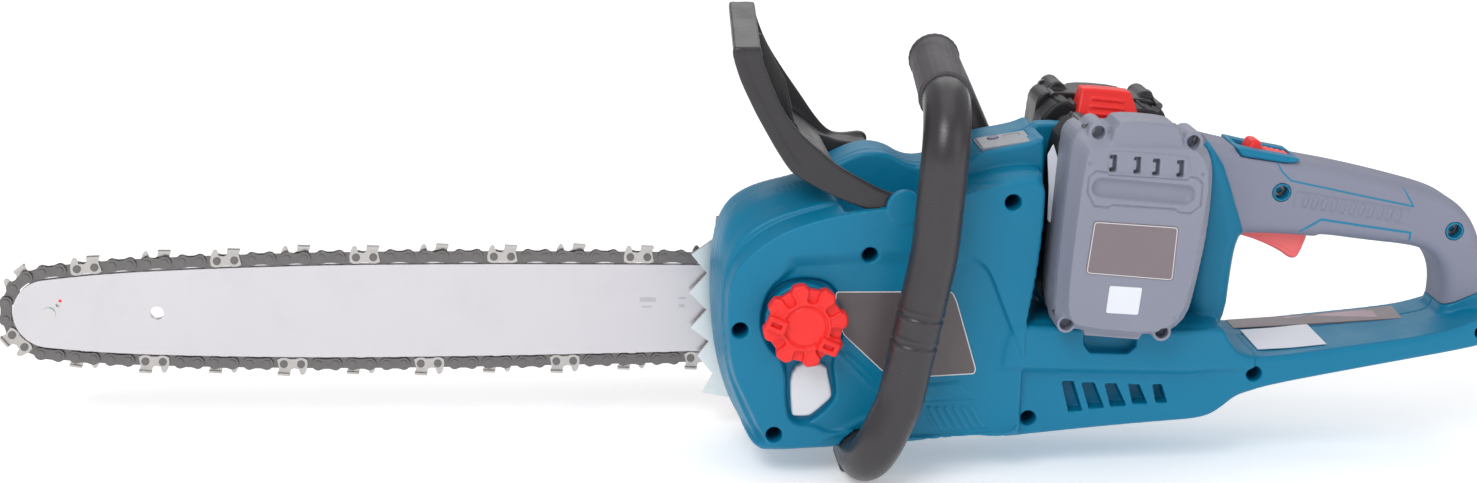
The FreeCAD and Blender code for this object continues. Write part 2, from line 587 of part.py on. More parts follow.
def guard_ears():
    """Two ears on the left and one on the right that hold the guard pivots."""
    x0, x1 = GUARD_X - 9, GUARD_X + 9
    return [
        fuse(cyl(*GUARD, 9, -50, -46.6), box(x0, x1, -50, -46.6, 116, GUARD_Z)),
        fuse(cyl(*GUARD, 7, -40.4, -36),
             box(GUARD_X - 7, GUARD_X + 7, -40.4, -36, 118, GUARD_Z)),
        fuse(cyl(*GUARD, 9, 30.4, 33.4), box(x0, x1, 27.2, 33.4, 112, 120),
             box(x0, x1, 30.4, 33.4, 116, GUARD_Z))]


def housing_bosses(outer):
    channel = cyl(FOOT_X, FOOT_Z, 16.4, -49, -6).multiFuse([])\
        if False else Part.makeCompound([cyl(FOOT_X, FOOT_Z, 16.4, -49, -6)])
    return channel


def housing_adds(outer):
    channel = fuse(cyl(FOOT_X, FOOT_Z, 16.4, -49, -6)) if False else None
    return channel


def housing_additions(outer):
    channel = cyl(FOOT_X, FOOT_Z, 16.4, -49, -6)
    adds = guard_ears() + [channel.common(box(-100, 0, -49.5, -6, 0.2, 40))]
    adds += [upright(y, 6, 11.5, 7) for y in FOOT_SCREWS_Y]
    adds.append(cyl(*HANDLE_PAD, 6, 16, 28))
    adds += [cyl(*place, 6.2, -46.8, 27.6).common(outer) for place in BODY_SCREWS]
    adds += [cyl(*place, 5.6, -14.5, 14.5).common(outer) for place in HANDLE_SCREWS]
    adds.append(ring(*AXIS, 9.6, 13.0, -47.2, -41.4))     # fan-side bearing seat
    adds.append(prism(PAD, 27.2, 32.35))                  # plateau behind the bar pad
    adds.append(cyl(*CATCHER_BOLT, 5.5, 20, 30))
    adds += [cyl(*place, 5.0, 18, 30).common(outer) for place in SPIKE_BOLTS]
    adds.append(lock_box(22, 22, 10.5, 6, 1.2))           # raised pad round the button
    return adds


def housing_cuts():
    cuts = [cyl(FOOT_X, FOOT_Z, TUBE_R + 0.25, -60, -9.2)]
    cuts += [upright(y, 2.5, 10, 5.3) for y in FOOT_SCREWS_Y]
    cuts.append(cyl(*HANDLE_PAD, 2.5, 23.9, 40))
    for places, head_y in ((BODY_SCREWS, -60), (HANDLE_SCREWS, -40)):
        for place in places:
            cuts += [cyl(*place, 4.0, head_y, -9.0), cyl(*place, 1.65, -20, 10)]
    cuts += [cyl(*place, 2.5, 20.2, 40) for place in SPIKE_BOLTS]
    cuts += [cyl(*STUD, 4.1, 20, 40), cyl(*AXIS, 12.0, 25, 40), cyl(*CATCHER_BOLT, 2.6, 22, 40),
             cyl(*TENSION_HOLE, 1.6, 20, 40)]
    cuts += [cyl(*place, 2.1, 20, 40) for place in PAD_HOLES]
    cuts += [cyl(*CAP, 17.3, -60, -44.5), prism(inset(WINDOW, -0.05), -60, -44.5)]
    cuts.append(lock_box(18.5, 14.5, 7.2, 12, 8))         # lock-off button slot
    cuts.append(box(141.2, 190.0, -6.6, 6.6, 88, 122))    # trigger slot
    cuts.append(cyl(*TRIGGER, 2.05, -14.6, 14.6))
    cuts.append(cyl(*TRIGGER, 3.6, 6.0, 11.8))
    cuts.append(sweep(SWITCH_RUN, 2.7))
    for vent in VENTS:
        cuts += [prism(vent, -50, -42), prism(vent, 26, 32)]
    # upright slots in the right wall, then shallow grooves across the flat sole
    cuts += [box(-30 + 10 * k, -27 + 10 * k, 27, 31, 104, 120) for k in range(5)]
    cuts += [box(-31.5 + 7 * k, -29.5 + 7 * k, -30, 26, -1, 1.0) for k in range(7)]
    cuts += [cyl(*GUARD, 4.0, -48.6, -36.5), cyl(*GUARD, 4.0, 21.2, 32.6)]
    x0, x1, y0, y1 = PANEL
    panel_seat = box(x0 - 0.15, x1 + 0.15, y0 - 0.15, y1 + 0.15, 160.6, 170)
    cuts.append(tilt(panel_seat, PANEL_TILT, PANEL_CENTRE))
    return cuts


def housing_screw(x, z):
    screw = fuse(cyl(x, z, 1.6, -9.05, 9.8), cyl(x, z, 3.5, -12.0, -9.05))
    return screw.cut(cyl(x, z, 1.6, -13, -10.4)).removeSplitter().Solids[0]


outer = housing_outer()
shell = outer.cut(housing_hollow())
shell = shell.multiFuse(housing_additions(outer))
shell = shell.cut(Part.makeCompound(housing_cuts()))
save("left_housing", biggest(shell.common(box(-300, 400, -80, 0, -40, 260))))
save("right_housing", biggest(shell.common(box(-300, 400, 0, 80, -40, 260))))
save_all("housing_screws", [housing_screw(x, z) for x, z in BODY_SCREWS + HANDLE_SCREWS])

# ---------------------------------------------------------------- rear handle overmould
grip = prism(HANDLE_OUT, -HANDLE_W, HANDLE_W).cut(prism(OPENING, -30, 30)).common(grip_zone)
grip = grip.cut(handle_core().cut(prism(OPEN_CORE, -30, 30)))
grip = grip.cut(cyl(*TRIGGER, 3.6, 6.0, 11.8)).cut(cyl(*TRIGGER, 2.05, -12.4, 12.4))
grip = grip.cut(lock_box(22.3, 22.3, 10.8, 12, 8)).cut(box(140.9, 190.3, -6.9, 6.9, 84, 121))
for place in HANDLE_SCREWS:
    grip = grip.cut(cyl(*place, 4.6, -30, -10))
save("rear_handle_grip", biggest(grip.cut(prism(inset(LOWER, -0.05), -40, 40))))

# ---------------------------------------------------------------- trigger, lock-off, switch
TRIGGER_OUTLINE = [
    (143, 120.5), (143, 109.5), (146, 108), (159, 104), (172, 97.8), (177.5, 93.8),
    (181.5, 94.0), (183.2, 96.5), (186.8, 106), (188, 113), (180, 117.5), (166, 120.5)]
trigger = prism(TRIGGER_OUTLINE, -5.9, 5.9).cut(cyl(*TRIGGER, 2.08, -8, 8))
save("trigger", biggest(trigger.cut(box(155, 183, -4, 4, 108.5, 124))))
save("trigger_pin", cyl(*TRIGGER, 2.0, -12.3, 12.3))
# modelled as four separate rings
save_all("trigger_spring", [ring(*TRIGGER, 2.3, 3.3, 7.1 + 1.1 * k, 8.05 + 1.1 * k).Solids[0]
                            for k in range(4)])
button = fuse(box(-12.5, 12.5, -6.6, 6.6, -1.5, 4.4), box(-12.5, -6.5, -6.6, 6.6, 4.3, 8.0),
              box(-17.0, 16.0, -9.4, 9.4, -9.6, -7.4), box(-8, 8, -5, 5, -7.5, -1.4))
swing(button, LOCK_TILT, (LOCK[0] + 1.0, LOCK[1] + 0.2))
save("lockoff_button", biggest(button))
save("microswitch", fuse(box(173, 191, -5, 5, 126.2, 135), box(185, 188, -2, 2, 122.4, 126.3)))
save("lockoff_spring", coil_spring((180.0, 0, 141.0), (0.974, 0, -0.228), radius=2.4,
                                   wire_radius=0.5, pitch=1.9, turns=6))

# ---------------------------------------------------------------- front handle
# tube centre line (x, y, z): under the sole, up the left side, over to the right mount
HANDLE_PATH = [
    (FOOT_X, -10, FOOT_Z), (FOOT_X, -73, FOOT_Z), (-49.5, -73, 36), (-34, -73, 118),
    (-27, -73, 202), (-18.5, 60, 203), (17, 46, 124)]
wire = tube_path(HANDLE_PATH, [22, 50, 150, 30, 26])
tube = sweep(wire, TUBE_R)
bore = sweep(wire, 9.6)
handle = fuse(tube.cut(bore), cyl(FOOT_X, FOOT_Z, 9.7, -44, -10),
              box(FOOT_X - 9, FOOT_X + 9, -42, -12, -15.6, -6), cyl(*HANDLE_PAD, 12.0, 30.1, 50))
handle = handle.cut(cyl(*HANDLE_PAD, 2.5, 20, 60)).cut(cyl(*HANDLE_PAD, 5.0, 36.0, 70))
for y in FOOT_SCREWS_Y:
    handle = handle.cut(upright(y, 2.5, -20, 40)).cut(upright(y, 5.0, -20, 23))
save("front_handle", biggest(handle))

# sleeve on the top run
top_left, top_right = vec(*HANDLE_PATH[4]), vec(*HANDLE_PATH[5])
across = (top_right - top_left).normalize()
start, end = top_left + across * 34, top_right - across * 30
sleeve = Part.makeCylinder(14.4, (end - start).Length, start, across)
sleeve_bore = Part.makeCylinder(TUBE_R + 0.03, 400, start - across * 50, across)
save("front_handle_grip", sleeve.cut(sleeve_bore))

# ---------------------------------------------------------------- hand guard and its pins
LEFT_ARM = [
    (GUARD_X + 7, GUARD_Z - 3), (GUARD_X + 7, GUARD_Z + 4), (-56, 142.5), (-70.3, 150.3),
    (-84.3, 158.4), (-93, 166), (-103.7, 176.2), (-111.3, 186), (-119, 203), (-124.3, 219.4),
    (-137.8, 218.4), (-134.1, 202.9), (-125.9, 185.9), (-116.2, 168.7), (-107.4, 155.2),
    (-97.8, 148.5), (-86, 141.8), (-62, 131.5), (GUARD_X - 3, GUARD_Z - 7.5),
    (GUARD_X + 4, GUARD_Z - 7)]
RIGHT_ARM = [
    (GUARD_X + 7, GUARD_Z), (-46, 152), (-55.5, 158.5), (-72, 159.5), (-84, 163), (-93, 172),
    (-103, 187), (-112, 204), (-119.5, 219.4), (-137.8, 218.4), (-134, 203), (-120, 174),
    (-108, 152), (-88, 146), (-70, 143), (-55, 131), (GUARD_X, GUARD_Z - 8)]
SHIELD = [
    (-96, 169), (-103.7, 177), (-111.3, 187), (-119, 203), (-124.3, 219.4), (-137.8, 218.4),
    (-134.1, 202.9), (-125.9, 185.9), (-116.2, 168.7), (-108.5, 156.5)]
SHIELD_HOLLOW = [
    (-86, 158), (-96, 176), (-109, 199), (-115.5, 213.5), (-130.5, 213.5), (-129, 203),
    (-121.5, 186), (-112, 169.5), (-105.5, 160.5), (-98, 158)]
GUARD_WEB = [(-99, 166), (-106, 177), (-119, 203), (-124, 216), (-134, 216), (-131, 203),
             (-123, 186), (-108, 160)]
# triangular windows through the shield (y, z)
GUARD_WINDOWS = [[(-35, 166), (-3, 166), (-3, 206)], [(10, 206), (38, 206), (10, 166)]]
CROWN = [(-44, 217.5), (46, 217.5), (46, 227.5), (-44, 219.0)]    # (y, z)


def cross_wire(points, x):
    """Closed wire of (y, z) points in the plane at x."""
    return Part.makePolygon([vec(x, y, z) for y, z in points + points[:1]])


shield = prism(SHIELD, -41.0, 46.0)
shield = shield.cut(prism(SHIELD_HOLLOW, -37, 42))
guard = fuse(prism(LEFT_ARM, -46.0, -41.0), prism(RIGHT_ARM, 25.0, 30.0), shield,
             prism(GUARD_WEB, 2, 6))
for window in GUARD_WINDOWS:
    guard = guard.cut(Part.makeLoft([cross_wire(window, -90), cross_wire(window, -160)],
                                    True, True))
# crown of the top rail, rising towards the right
crown = Part.Face(cross_wire(CROWN, -133.5)).extrude(vec(9.0, 0, 0))
guard = guard.fuse(crown).removeSplitter()
save("hand_guard", biggest(guard.cut(cyl(*GUARD, 4.0, -60, 60))))
save_all("guard_pivot_pins", [cyl(*GUARD, 3.95, -48.5, -36.6), cyl(*GUARD, 3.95, 21.3, 32.5)])

# ---------------------------------------------------------------- sprocket cover
COVER = [
    (-132, 14), (-118, 9), (SPR_X - 10, 8), (SPR_X + 18, 12), (SPR_X + 34, 28),
    (SPR_X + 40, 55), (SPR_X + 34, 82), (SPR_X + 18, 98), (SPR_X - 10, 102), (-118, 101),
    (-132, 96)]
COVER_FRONT = [(-136, 55), (-132, 30), (-60, 30), (-60, 80), (-132, 80)]
cover = prism(COVER, 32.6, 54).fuse(frustum(COVER, 54, inset(COVER, 5), 58))
cover = cover.fuse(prism(COVER_FRONT, 50, 54))
cover = cover.cut(prism(inset(COVER, 3), 30, 54.5)).cut(box(-140, -127, 30, 49.5, 14.5, 95.5))
cover = fuse(cover, ring(*STUD, 4.2, 9.0, 42.5, 55.5), box(-116, -112, 41.0, 55, 36, 46),
             box(-116, -112, 41.0, 55, 64, 74), ring(*STUD, 31.0, 33.5, 57.5, 60.5))
cover = cover.cut(cyl(*STUD, 4.2, 30, 80)).cut(box(-124, -104, 30, 45, 0, 12.5))
cover = cover.cut(box(-140, -122.5, 30, 36, 10, 22)).cut(box(-140, -122.5, 30, 36, 86.5, 98))
for k in range(4):
    cover = cover.cut(box(SPR_X + 2 + 7 * k, SPR_X + 5 + 7 * k, 50, 60, 40, 70))
save("sprocket_cover", biggest(cover))

# ---------------------------------------------------------------- tensioner and knob
NOTCHES = 24
dial = ring(*STUD, 8.0, 30.0, 58.1, 64.0)
for k in range(NOTCHES):
    dial = dial.cut(cyl(*on_circle(STUD, 30.4, 360 / NOTCHES * k), 1.6, 57, 65))
save("tension_dial", biggest(dial))
knob = fuse(cyl(*STUD, 21.0, 64.2, 72.0), cyl(*STUD, 7.6, 58.2, 64.3))
knob = knob.fuse(swing(box(-19, 19, 72, 80, -4, 4), 35, STUD))
save("lock_knob", biggest(knob.cut(cyl(*STUD, 4.06, 50, 71.6))))
save("tension_slider", fuse(box(-106, -88, 44.4, 47.4, 66.4, 73.0),
                            cyl(*TENSION_HOLE, 2.5, 36.0, 44.5)))

# ---------------------------------------------------------------- batteries
BATT_X, BATT_Z = BATTERY = (72.0, 125.5)     # battery centre
BATT_TILT = 5.5                              # degrees about Y through the centre
HALF_W, HALF_H = 78.0 / 2, 104.0 / 2
# distances from the y = 0 plane: inner face, joint of the two shells, outer face
FACE_IN, JOINT, FACE_OUT = 6.0, 32.0, 68.0
SCREW_SEAT = FACE_OUT - 14
CASE_SCREWS = [(BATT_X + dx, BATT_Z + dz) for dx in (-HALF_W + 9, HALF_W - 9)
               for dz in (-HALF_H + 3, HALF_H - 1)]


def chamfered(x0, x1, z0, z1, chamfer):
    """Rectangle about the battery centre with cut corners."""
    points = [(x0 + chamfer, z0), (x1 - chamfer, z0), (x1, z0 + chamfer), (x1, z1 - chamfer),
              (x1 - chamfer, z1), (x0 + chamfer, z1), (x0, z1 - chamfer), (x0, z0 + chamfer)]
    return [(BATT_X + x, BATT_Z + z) for x, z in points]


def case_outline(side_in, end_in, chamfer):
    return chamfered(-HALF_W + side_in, HALF_W - side_in, -HALF_H + end_in, HALF_H - end_in,
                     chamfer)


def build_battery(side, sign):
    def span(near, far):
        """y range on this side of the saw, from distances to the y = 0 plane."""
        return (near, far) if sign > 0 else (-far, -near)

    def outer_shell():
        rim, face = case_outline(1, 0, 9), case_outline(5, 4, 9)
        case = prism(rim, *span(JOINT, FACE_OUT - 5))
        if sign > 0:
            case = case.fuse(frustum(rim, FACE_OUT - 5, face, FACE_OUT))
        else:
            case = case.fuse(frustum(face, -FACE_OUT, rim, -(FACE_OUT - 5)))
        case = case.cut(prism(case_outline(4, 3, 7), *span(JOINT - 1, FACE_OUT - 3)))
        bosses = [cyl(*place, 6.0, *span(JOINT, FACE_OUT - 8)) for place in CASE_SCREWS]
        holes = []
        for place in CASE_SCREWS:
            holes.append(cyl(*place, 3.6, *span(SCREW_SEAT, FACE_OUT)))
            holes.append(cyl(*place, 2.05, *span(JOINT - 6, SCREW_SEAT + 0.1)))
        return biggest(fuse(case, *bosses).cut(Part.makeCompound(holes)))

    def inner_shell():
        case = prism(case_outline(2.5, 0.5, 8), *span(FACE_IN + 6, JOINT - 0.02))
        rail = chamfered(-26, 26, -HALF_H + 1, HALF_H - 12, 3)
        case = case.fuse(prism(rail, *span(FACE_IN + 0.3, FACE_IN + 6.1)))
        case = case.cut(prism(case_outline(5.5, 3.5, 6), *span(FACE_IN + 9, JOINT + 1)))
        bosses = [cyl(*place, 5.5, *span(JOINT - 12, JOINT - 0.02)) for place in CASE_SCREWS]
        holes = [cyl(*place, 2.05, *span(JOINT - 7, JOINT + 2)) for place in CASE_SCREWS]
        case = fuse(case, *bosses).cut(Part.makeCompound(holes))
        # recess for the release button, open at the top
        return biggest(case.cut(box(BATT_X - 13.2, BATT_X + 13.2,
                                    *span(FACE_IN + 5.0, FACE_IN + 18),
                                    BATT_Z + HALF_H - 13, BATT_Z + HALF_H + 3)))

    def release_button():
        top = BATT_Z + HALF_H
        block = box(BATT_X - 12.8, BATT_X + 12.8, *span(FACE_IN + 5.6, FACE_IN + 17.4),
                    top - 9.5, top + 5.5)
        for k in range(3):
            groove = span(FACE_IN + 8 + 2.8 * k, FACE_IN + 9.2 + 2.8 * k)
            block = block.cut(box(BATT_X - 10, BATT_X + 10, *groove, top + 4.7, top + 7))
        return biggest(block)

    def case_screw(place):
        screw = fuse(cyl(*place, 2.0, *span(JOINT - 5.8, SCREW_SEAT)),
                     cyl(*place, 3.4, *span(SCREW_SEAT, SCREW_SEAT + 3)))
        return screw.removeSplitter().Solids[0]

    cells = [cyl(BATT_X - 20 + 20 * i, BATT_Z - 32 + 21.2 * j, 9.1,
                 *span(FACE_IN + 18.5, FACE_OUT - 8)) for i in range(3) for j in range(4)]
    for name, shape in (
            ("outer_shell", outer_shell()), ("inner_shell", inner_shell()),
            ("release_button", release_button()), ("cells", Part.makeCompound(cells)),
            ("case_screws", Part.makeCompound([case_screw(p) for p in CASE_SCREWS]))):
        save("battery_%s_%s" % (side, name), tilt(shape, BATT_TILT, BATTERY))


build_battery("left", -1)
build_battery("right", 1)

# ---------------------------------------------------------------- electronics and controls
controller = box(38, 98, -28, 26, 18, 41)
for k in range(9):      # cooling fins
    controller = controller.fuse(box(38, 98, -26.5 + 6.2 * k, -24.5 + 6.2 * k, 40.9, 52))
save("controller", biggest(controller))
save_all("wiring_harness", [sweep(MOTOR_RUN, 2.6), sweep(SWITCH_RUN, 2.2)])


def panel_cylinder(radius, height, z):
    cylinder = Part.makeCylinder(radius, height, vec(6.5, -8.5, z), Z_AXIS)
    return tilt(cylinder, PANEL_TILT, PANEL_CENTRE)


panel = tilt(box(*PANEL, 160.8, 163.6), PANEL_TILT, PANEL_CENTRE)
save("control_panel", biggest(panel.cut(panel_cylinder(3.0, 6.0, 161.3))))
save("power_button", panel_cylinder(2.9, 3.0, 162.2))
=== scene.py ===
"""A cordless chainsaw with two battery packs, dressed over its CAD pieces.

The guide bar points to -X and the rear handle to +X; +Z is up. The saw's left side, with the
oil cap, faces -Y and its right side, with the sprocket cover, faces +Y. Shapes are written in
millimetres and scaled to metres as meshes are made. Moulded parts are signed distance fields,
negative inside, turned into quads; bent tubes, labels and marks are built directly.
"""
import math
from itertools import accumulate

import bmesh
import bpy
import numpy as np
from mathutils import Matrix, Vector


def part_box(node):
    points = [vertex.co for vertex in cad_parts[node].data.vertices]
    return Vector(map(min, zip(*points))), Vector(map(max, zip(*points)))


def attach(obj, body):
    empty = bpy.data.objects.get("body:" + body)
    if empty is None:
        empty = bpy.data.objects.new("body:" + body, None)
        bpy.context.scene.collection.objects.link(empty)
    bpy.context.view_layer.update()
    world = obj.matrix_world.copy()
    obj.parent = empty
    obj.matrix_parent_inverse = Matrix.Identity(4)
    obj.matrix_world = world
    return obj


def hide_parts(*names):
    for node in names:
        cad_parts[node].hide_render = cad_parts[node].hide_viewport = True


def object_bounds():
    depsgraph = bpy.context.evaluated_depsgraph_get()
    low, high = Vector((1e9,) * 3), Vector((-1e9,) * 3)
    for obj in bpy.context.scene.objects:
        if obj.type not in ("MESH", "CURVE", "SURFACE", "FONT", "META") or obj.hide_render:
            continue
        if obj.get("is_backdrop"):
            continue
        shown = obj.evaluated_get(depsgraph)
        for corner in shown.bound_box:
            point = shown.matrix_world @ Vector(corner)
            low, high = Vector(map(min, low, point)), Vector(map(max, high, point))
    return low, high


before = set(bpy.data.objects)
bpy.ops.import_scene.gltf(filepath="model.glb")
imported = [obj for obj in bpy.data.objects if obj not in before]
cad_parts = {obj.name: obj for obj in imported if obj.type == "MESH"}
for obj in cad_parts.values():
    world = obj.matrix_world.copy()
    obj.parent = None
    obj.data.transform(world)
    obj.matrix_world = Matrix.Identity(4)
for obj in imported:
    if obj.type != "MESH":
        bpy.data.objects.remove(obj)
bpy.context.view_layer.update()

import openvdb as vdb
from mathutils import Matrix, Vector

MM = 0.001
COARSEN = 1.0


# ---------------------------------------------------------------- materials
def feed(tree, node, inputs):
    """Sets or links each named (or numbered) input of a node."""
    for key, value in inputs.items():
        if isinstance(value, bpy.types.NodeSocket):
            tree.links.new(value, node.inputs[key])
        else:
            node.inputs[key].default_value = value


def add_node(tree, kind, inputs, **attributes):
    node = tree.nodes.new(kind)
    for key, value in attributes.items():
        setattr(node, key, value)
    feed(tree, node, inputs)
    return node


def new_material(name):
    material = bpy.data.materials.new(name)
    material.use_nodes = True
    tree = material.node_tree
    return material, tree, tree.nodes["Principled BSDF"]


def coords(tree, scale=(1, 1, 1)):
    """Object coordinates in metres, stretched by scale."""
    source = tree.nodes.new("ShaderNodeTexCoord").outputs["Object"]
    mapping = add_node(tree, "ShaderNodeMapping", {"Vector": source, "Scale": scale})
    return mapping.outputs["Vector"]


def noise(tree, place, scale, detail, roughness=0.5):
    return add_node(tree, "ShaderNodeTexNoise", {
        "Vector": place, "Scale": scale, "Detail": detail, "Roughness": roughness,
    }).outputs["Fac"]


def ramp(tree, source, stops):
    """Grey ramp; stops are (position, level)."""
    node = add_node(tree, "ShaderNodeValToRGB", {"Fac": source})
    elements = node.color_ramp.elements
    while len(elements) > 1:
        elements.remove(elements[-1])
    elements[0].position = stops[0][0]
    for i, (position, level) in enumerate(stops):
        element = elements.new(position) if i else elements[0]
        element.color = (level, level, level, 1)
    return node.outputs["Color"]


def mix(tree, factor, first, second):
    node = add_node(tree, "ShaderNodeMix", {}, data_type="RGBA")
    feed(tree, node, {0: factor, 6: first, 7: second})
    return node.outputs[2]


def scaled(tree, source, factor):
    node = add_node(tree, "ShaderNodeMath", {0: source, 1: factor}, operation="MULTIPLY")
    return node.outputs[0]


def map_range(tree, source, source_range, result_range):
    return add_node(tree, "ShaderNodeMapRange", {
        "Value": source, "From Min": source_range[0], "From Max": source_range[1],
        "To Min": result_range[0], "To Max": result_range[1],
    }).outputs["Result"]


def bumps(tree, height, strength, distance):
    return add_node(tree, "ShaderNodeBump", {
        "Height": height, "Strength": strength, "Distance": distance,
    }).outputs["Normal"]


def pointiness(tree):
    return tree.nodes.new("ShaderNodeNewGeometry").outputs["Pointiness"]


def rgba(colour, gain=1.0, lift=0.0):
    return tuple(min(part * gain + lift, 1) for part in colour) + (1,)


def plastic(name, colour, rough, grain, bump, variation, edge_highlight, specular,
            coat=0.0, grain_depth=0.0001, transmission=0.0, subsurface=0.0):
    """Moulded plastic with cloudy colour, a painted highlight on convex edges, painted shade in
    concave places and a fine grain.
    """
    material, tree, bsdf = new_material(name)
    place = coords(tree)
    clouds = noise(tree, place, scale=22.0, detail=4.0, roughness=0.6)
    base = mix(tree, clouds, rgba(colour, 1 - variation), rgba(colour, 1 + variation))
    point = pointiness(tree)
    edges = ramp(tree, point, [(0.0, 0), (0.515, 0), (0.58, 1)])
    painted_hollow_shade = ramp(tree, point, [(0.40, 1), (0.485, 0), (1.0, 0)])
    # Painted highlight: lightens convex edges, found by pointiness.
    base = mix(tree, scaled(tree, edges, edge_highlight), base, rgba(colour, gain=1.6, lift=0.03))
    # Painted shade: darkens concave places, found by pointiness.
    base = mix(tree, scaled(tree, painted_hollow_shade, 0.35), base, rgba(colour, gain=0.45))
    fine = noise(tree, place, scale=float(grain), detail=2.0)
    smudges = noise(tree, place, scale=60.0, detail=3.0, roughness=0.6)
    feed(tree, bsdf, {
        "Base Color": base,
        "Roughness": map_range(tree, smudges, (0.3, 0.7), (rough - 0.05, rough + 0.07)),
        "Normal": bumps(tree, fine, strength=min(bump * 4, 1.0), distance=grain_depth),
        "Specular IOR Level": specular,
        "Coat Weight": coat,
        "Coat Roughness": 0.25,
        "Transmission Weight": transmission,
        "Subsurface Weight": subsurface,
        "Subsurface Radius": (0.004, 0.004, 0.004),
    })
    return material


def metal(name, colour, rough, stretch, variation, bump=0.15, stain=0.0, edge_highlight=0.2):
    """Metal with a directional grain, darker stains and a painted highlight on its convex edges."""
    material, tree, bsdf = new_material(name)
    grain = noise(tree, coords(tree, stretch), scale=1.0, detail=4.0, roughness=0.6)
    clouds = noise(tree, coords(tree), scale=35.0, detail=5.0, roughness=0.65)
    base = mix(tree, grain, rgba(colour, 1 - variation), rgba(colour, 1 + variation))
    stains = ramp(tree, clouds, [(0.0, 0), (0.5, 0), (0.75, 1)])
    base = mix(tree, scaled(tree, stains, stain), base, rgba(colour, gain=0.55))
    edges = ramp(tree, pointiness(tree), [(0.0, 0), (0.52, 0), (0.62, 1)])
    # Painted highlight: lightens convex edges, found by pointiness.
    base = mix(tree, scaled(tree, edges, edge_highlight), base, rgba(colour, gain=1.5, lift=0.1))
    feed(tree, bsdf, {
        "Base Color": base,
        "Metallic": 1.0,
        "Roughness": map_range(tree, grain, (0.3, 0.7), (rough - 0.07, rough + 0.09)),
        "Normal": bumps(tree, grain, strength=bump, distance=0.00005),
    })
    return material


# Colour, roughness, grain scale, bump, colour variation, painted edge highlight, specular, other
# settings.
# Some finishes in both tables are spares that no piece wears.
PLASTICS = {
    "housing": ((0.0, 0.186, 0.338), 0.42, 1300, 0.07, 0.05, 0.22, 0.32),
    # Painted shade: a darker copy of the housing teal for shaded faces; no piece uses it.
    "housing_painted_shade": ((0.003, 0.120, 0.225), 0.5, 1300, 0.07, 0.05, 0.15, 0.4),
    "plate_blue": ((0.010, 0.110, 0.190), 0.55, 1600, 0.12, 0.06, 0.15, 0.35),
    "dark_plastic": ((0.028, 0.025, 0.028), 0.36, 1100, 0.12, 0.12, 0.22, 0.5),
    # Painted highlight: a lighter copy of the guard's dark plastic for its lit top; no piece uses
    # it.
    "guard_painted_highlight": ((0.150, 0.135, 0.150), 0.45, 1100, 0.12, 0.10, 0.2, 0.5),
    "grip_grey": ((0.245, 0.255, 0.330), 0.62, 1700, 0.16, 0.05, 0.12, 0.35),
    "grip_dark": ((0.036, 0.032, 0.035), 0.30, 1900, 0.16, 0.12, 0.2, 0.5,
                  {"grain_depth": 0.00012}),
    "sleeve": ((0.070, 0.062, 0.070), 0.55, 1900, 0.25, 0.10, 0.2, 0.4, {"grain_depth": 0.0002}),
    "battery_grey": ((0.250, 0.262, 0.330), 0.46, 1300, 0.08, 0.05, 0.25, 0.45),
    "red": ((0.90, 0.030, 0.026), 0.40, 1200, 0.06, 0.07, 0.10, 0.35),
    "trigger_red": ((0.98, 0.165, 0.165), 0.40, 1200, 0.06, 0.05, 0.1, 0.4),
    "milky": ((0.88, 0.90, 0.97), 0.35, 900, 0.04, 0.05, 0.05, 0.5,
              {"coat": 0.1, "transmission": 0.15, "subsurface": 0.25}),
    "pack_dark": ((0.017, 0.016, 0.019), 0.38, 1200, 0.10, 0.15, 0.35, 0.5),
    "black": ((0.012, 0.012, 0.014), 0.5, 1200, 0.10, 0.2, 0.25, 0.4),
    "rubber": ((0.020, 0.020, 0.022), 0.7, 1500, 0.2, 0.2, 0.15, 0.3),
    "label_dark": ((0.105, 0.085, 0.090), 0.38, 2000, 0.03, 0.06, 0.0, 0.5, {"coat": 0.2}),
    "label_brown": ((0.200, 0.160, 0.175), 0.40, 2000, 0.03, 0.06, 0.0, 0.5, {"coat": 0.2}),
    "sticker": ((0.78, 0.80, 0.86), 0.45, 2000, 0.03, 0.04, 0.0, 0.5),
    "strip_pale": ((0.46, 0.33, 0.37), 0.45, 2000, 0.03, 0.12, 0.0, 0.4),
    "mark_green": ((0.10, 0.42, 0.26), 0.45, 2000, 0.03, 0.1, 0.0, 0.4),
    "ink": ((0.030, 0.028, 0.034), 0.5, 2000, 0.03, 0.1, 0.0, 0.4),
    "white_ink": ((0.70, 0.70, 0.72), 0.5, 2000, 0.03, 0.05, 0.0, 0.4),
    "pink_ink": ((0.62, 0.22, 0.26), 0.5, 2000, 0.03, 0.05, 0.0, 0.4),
    "smoke": ((0.210, 0.225, 0.270), 0.25, 1500, 0.04, 0.06, 0.1, 0.5, {"coat": 0.4}),
    "cell": ((0.05, 0.26, 0.14), 0.35, 1500, 0.04, 0.1, 0.1, 0.5),
}
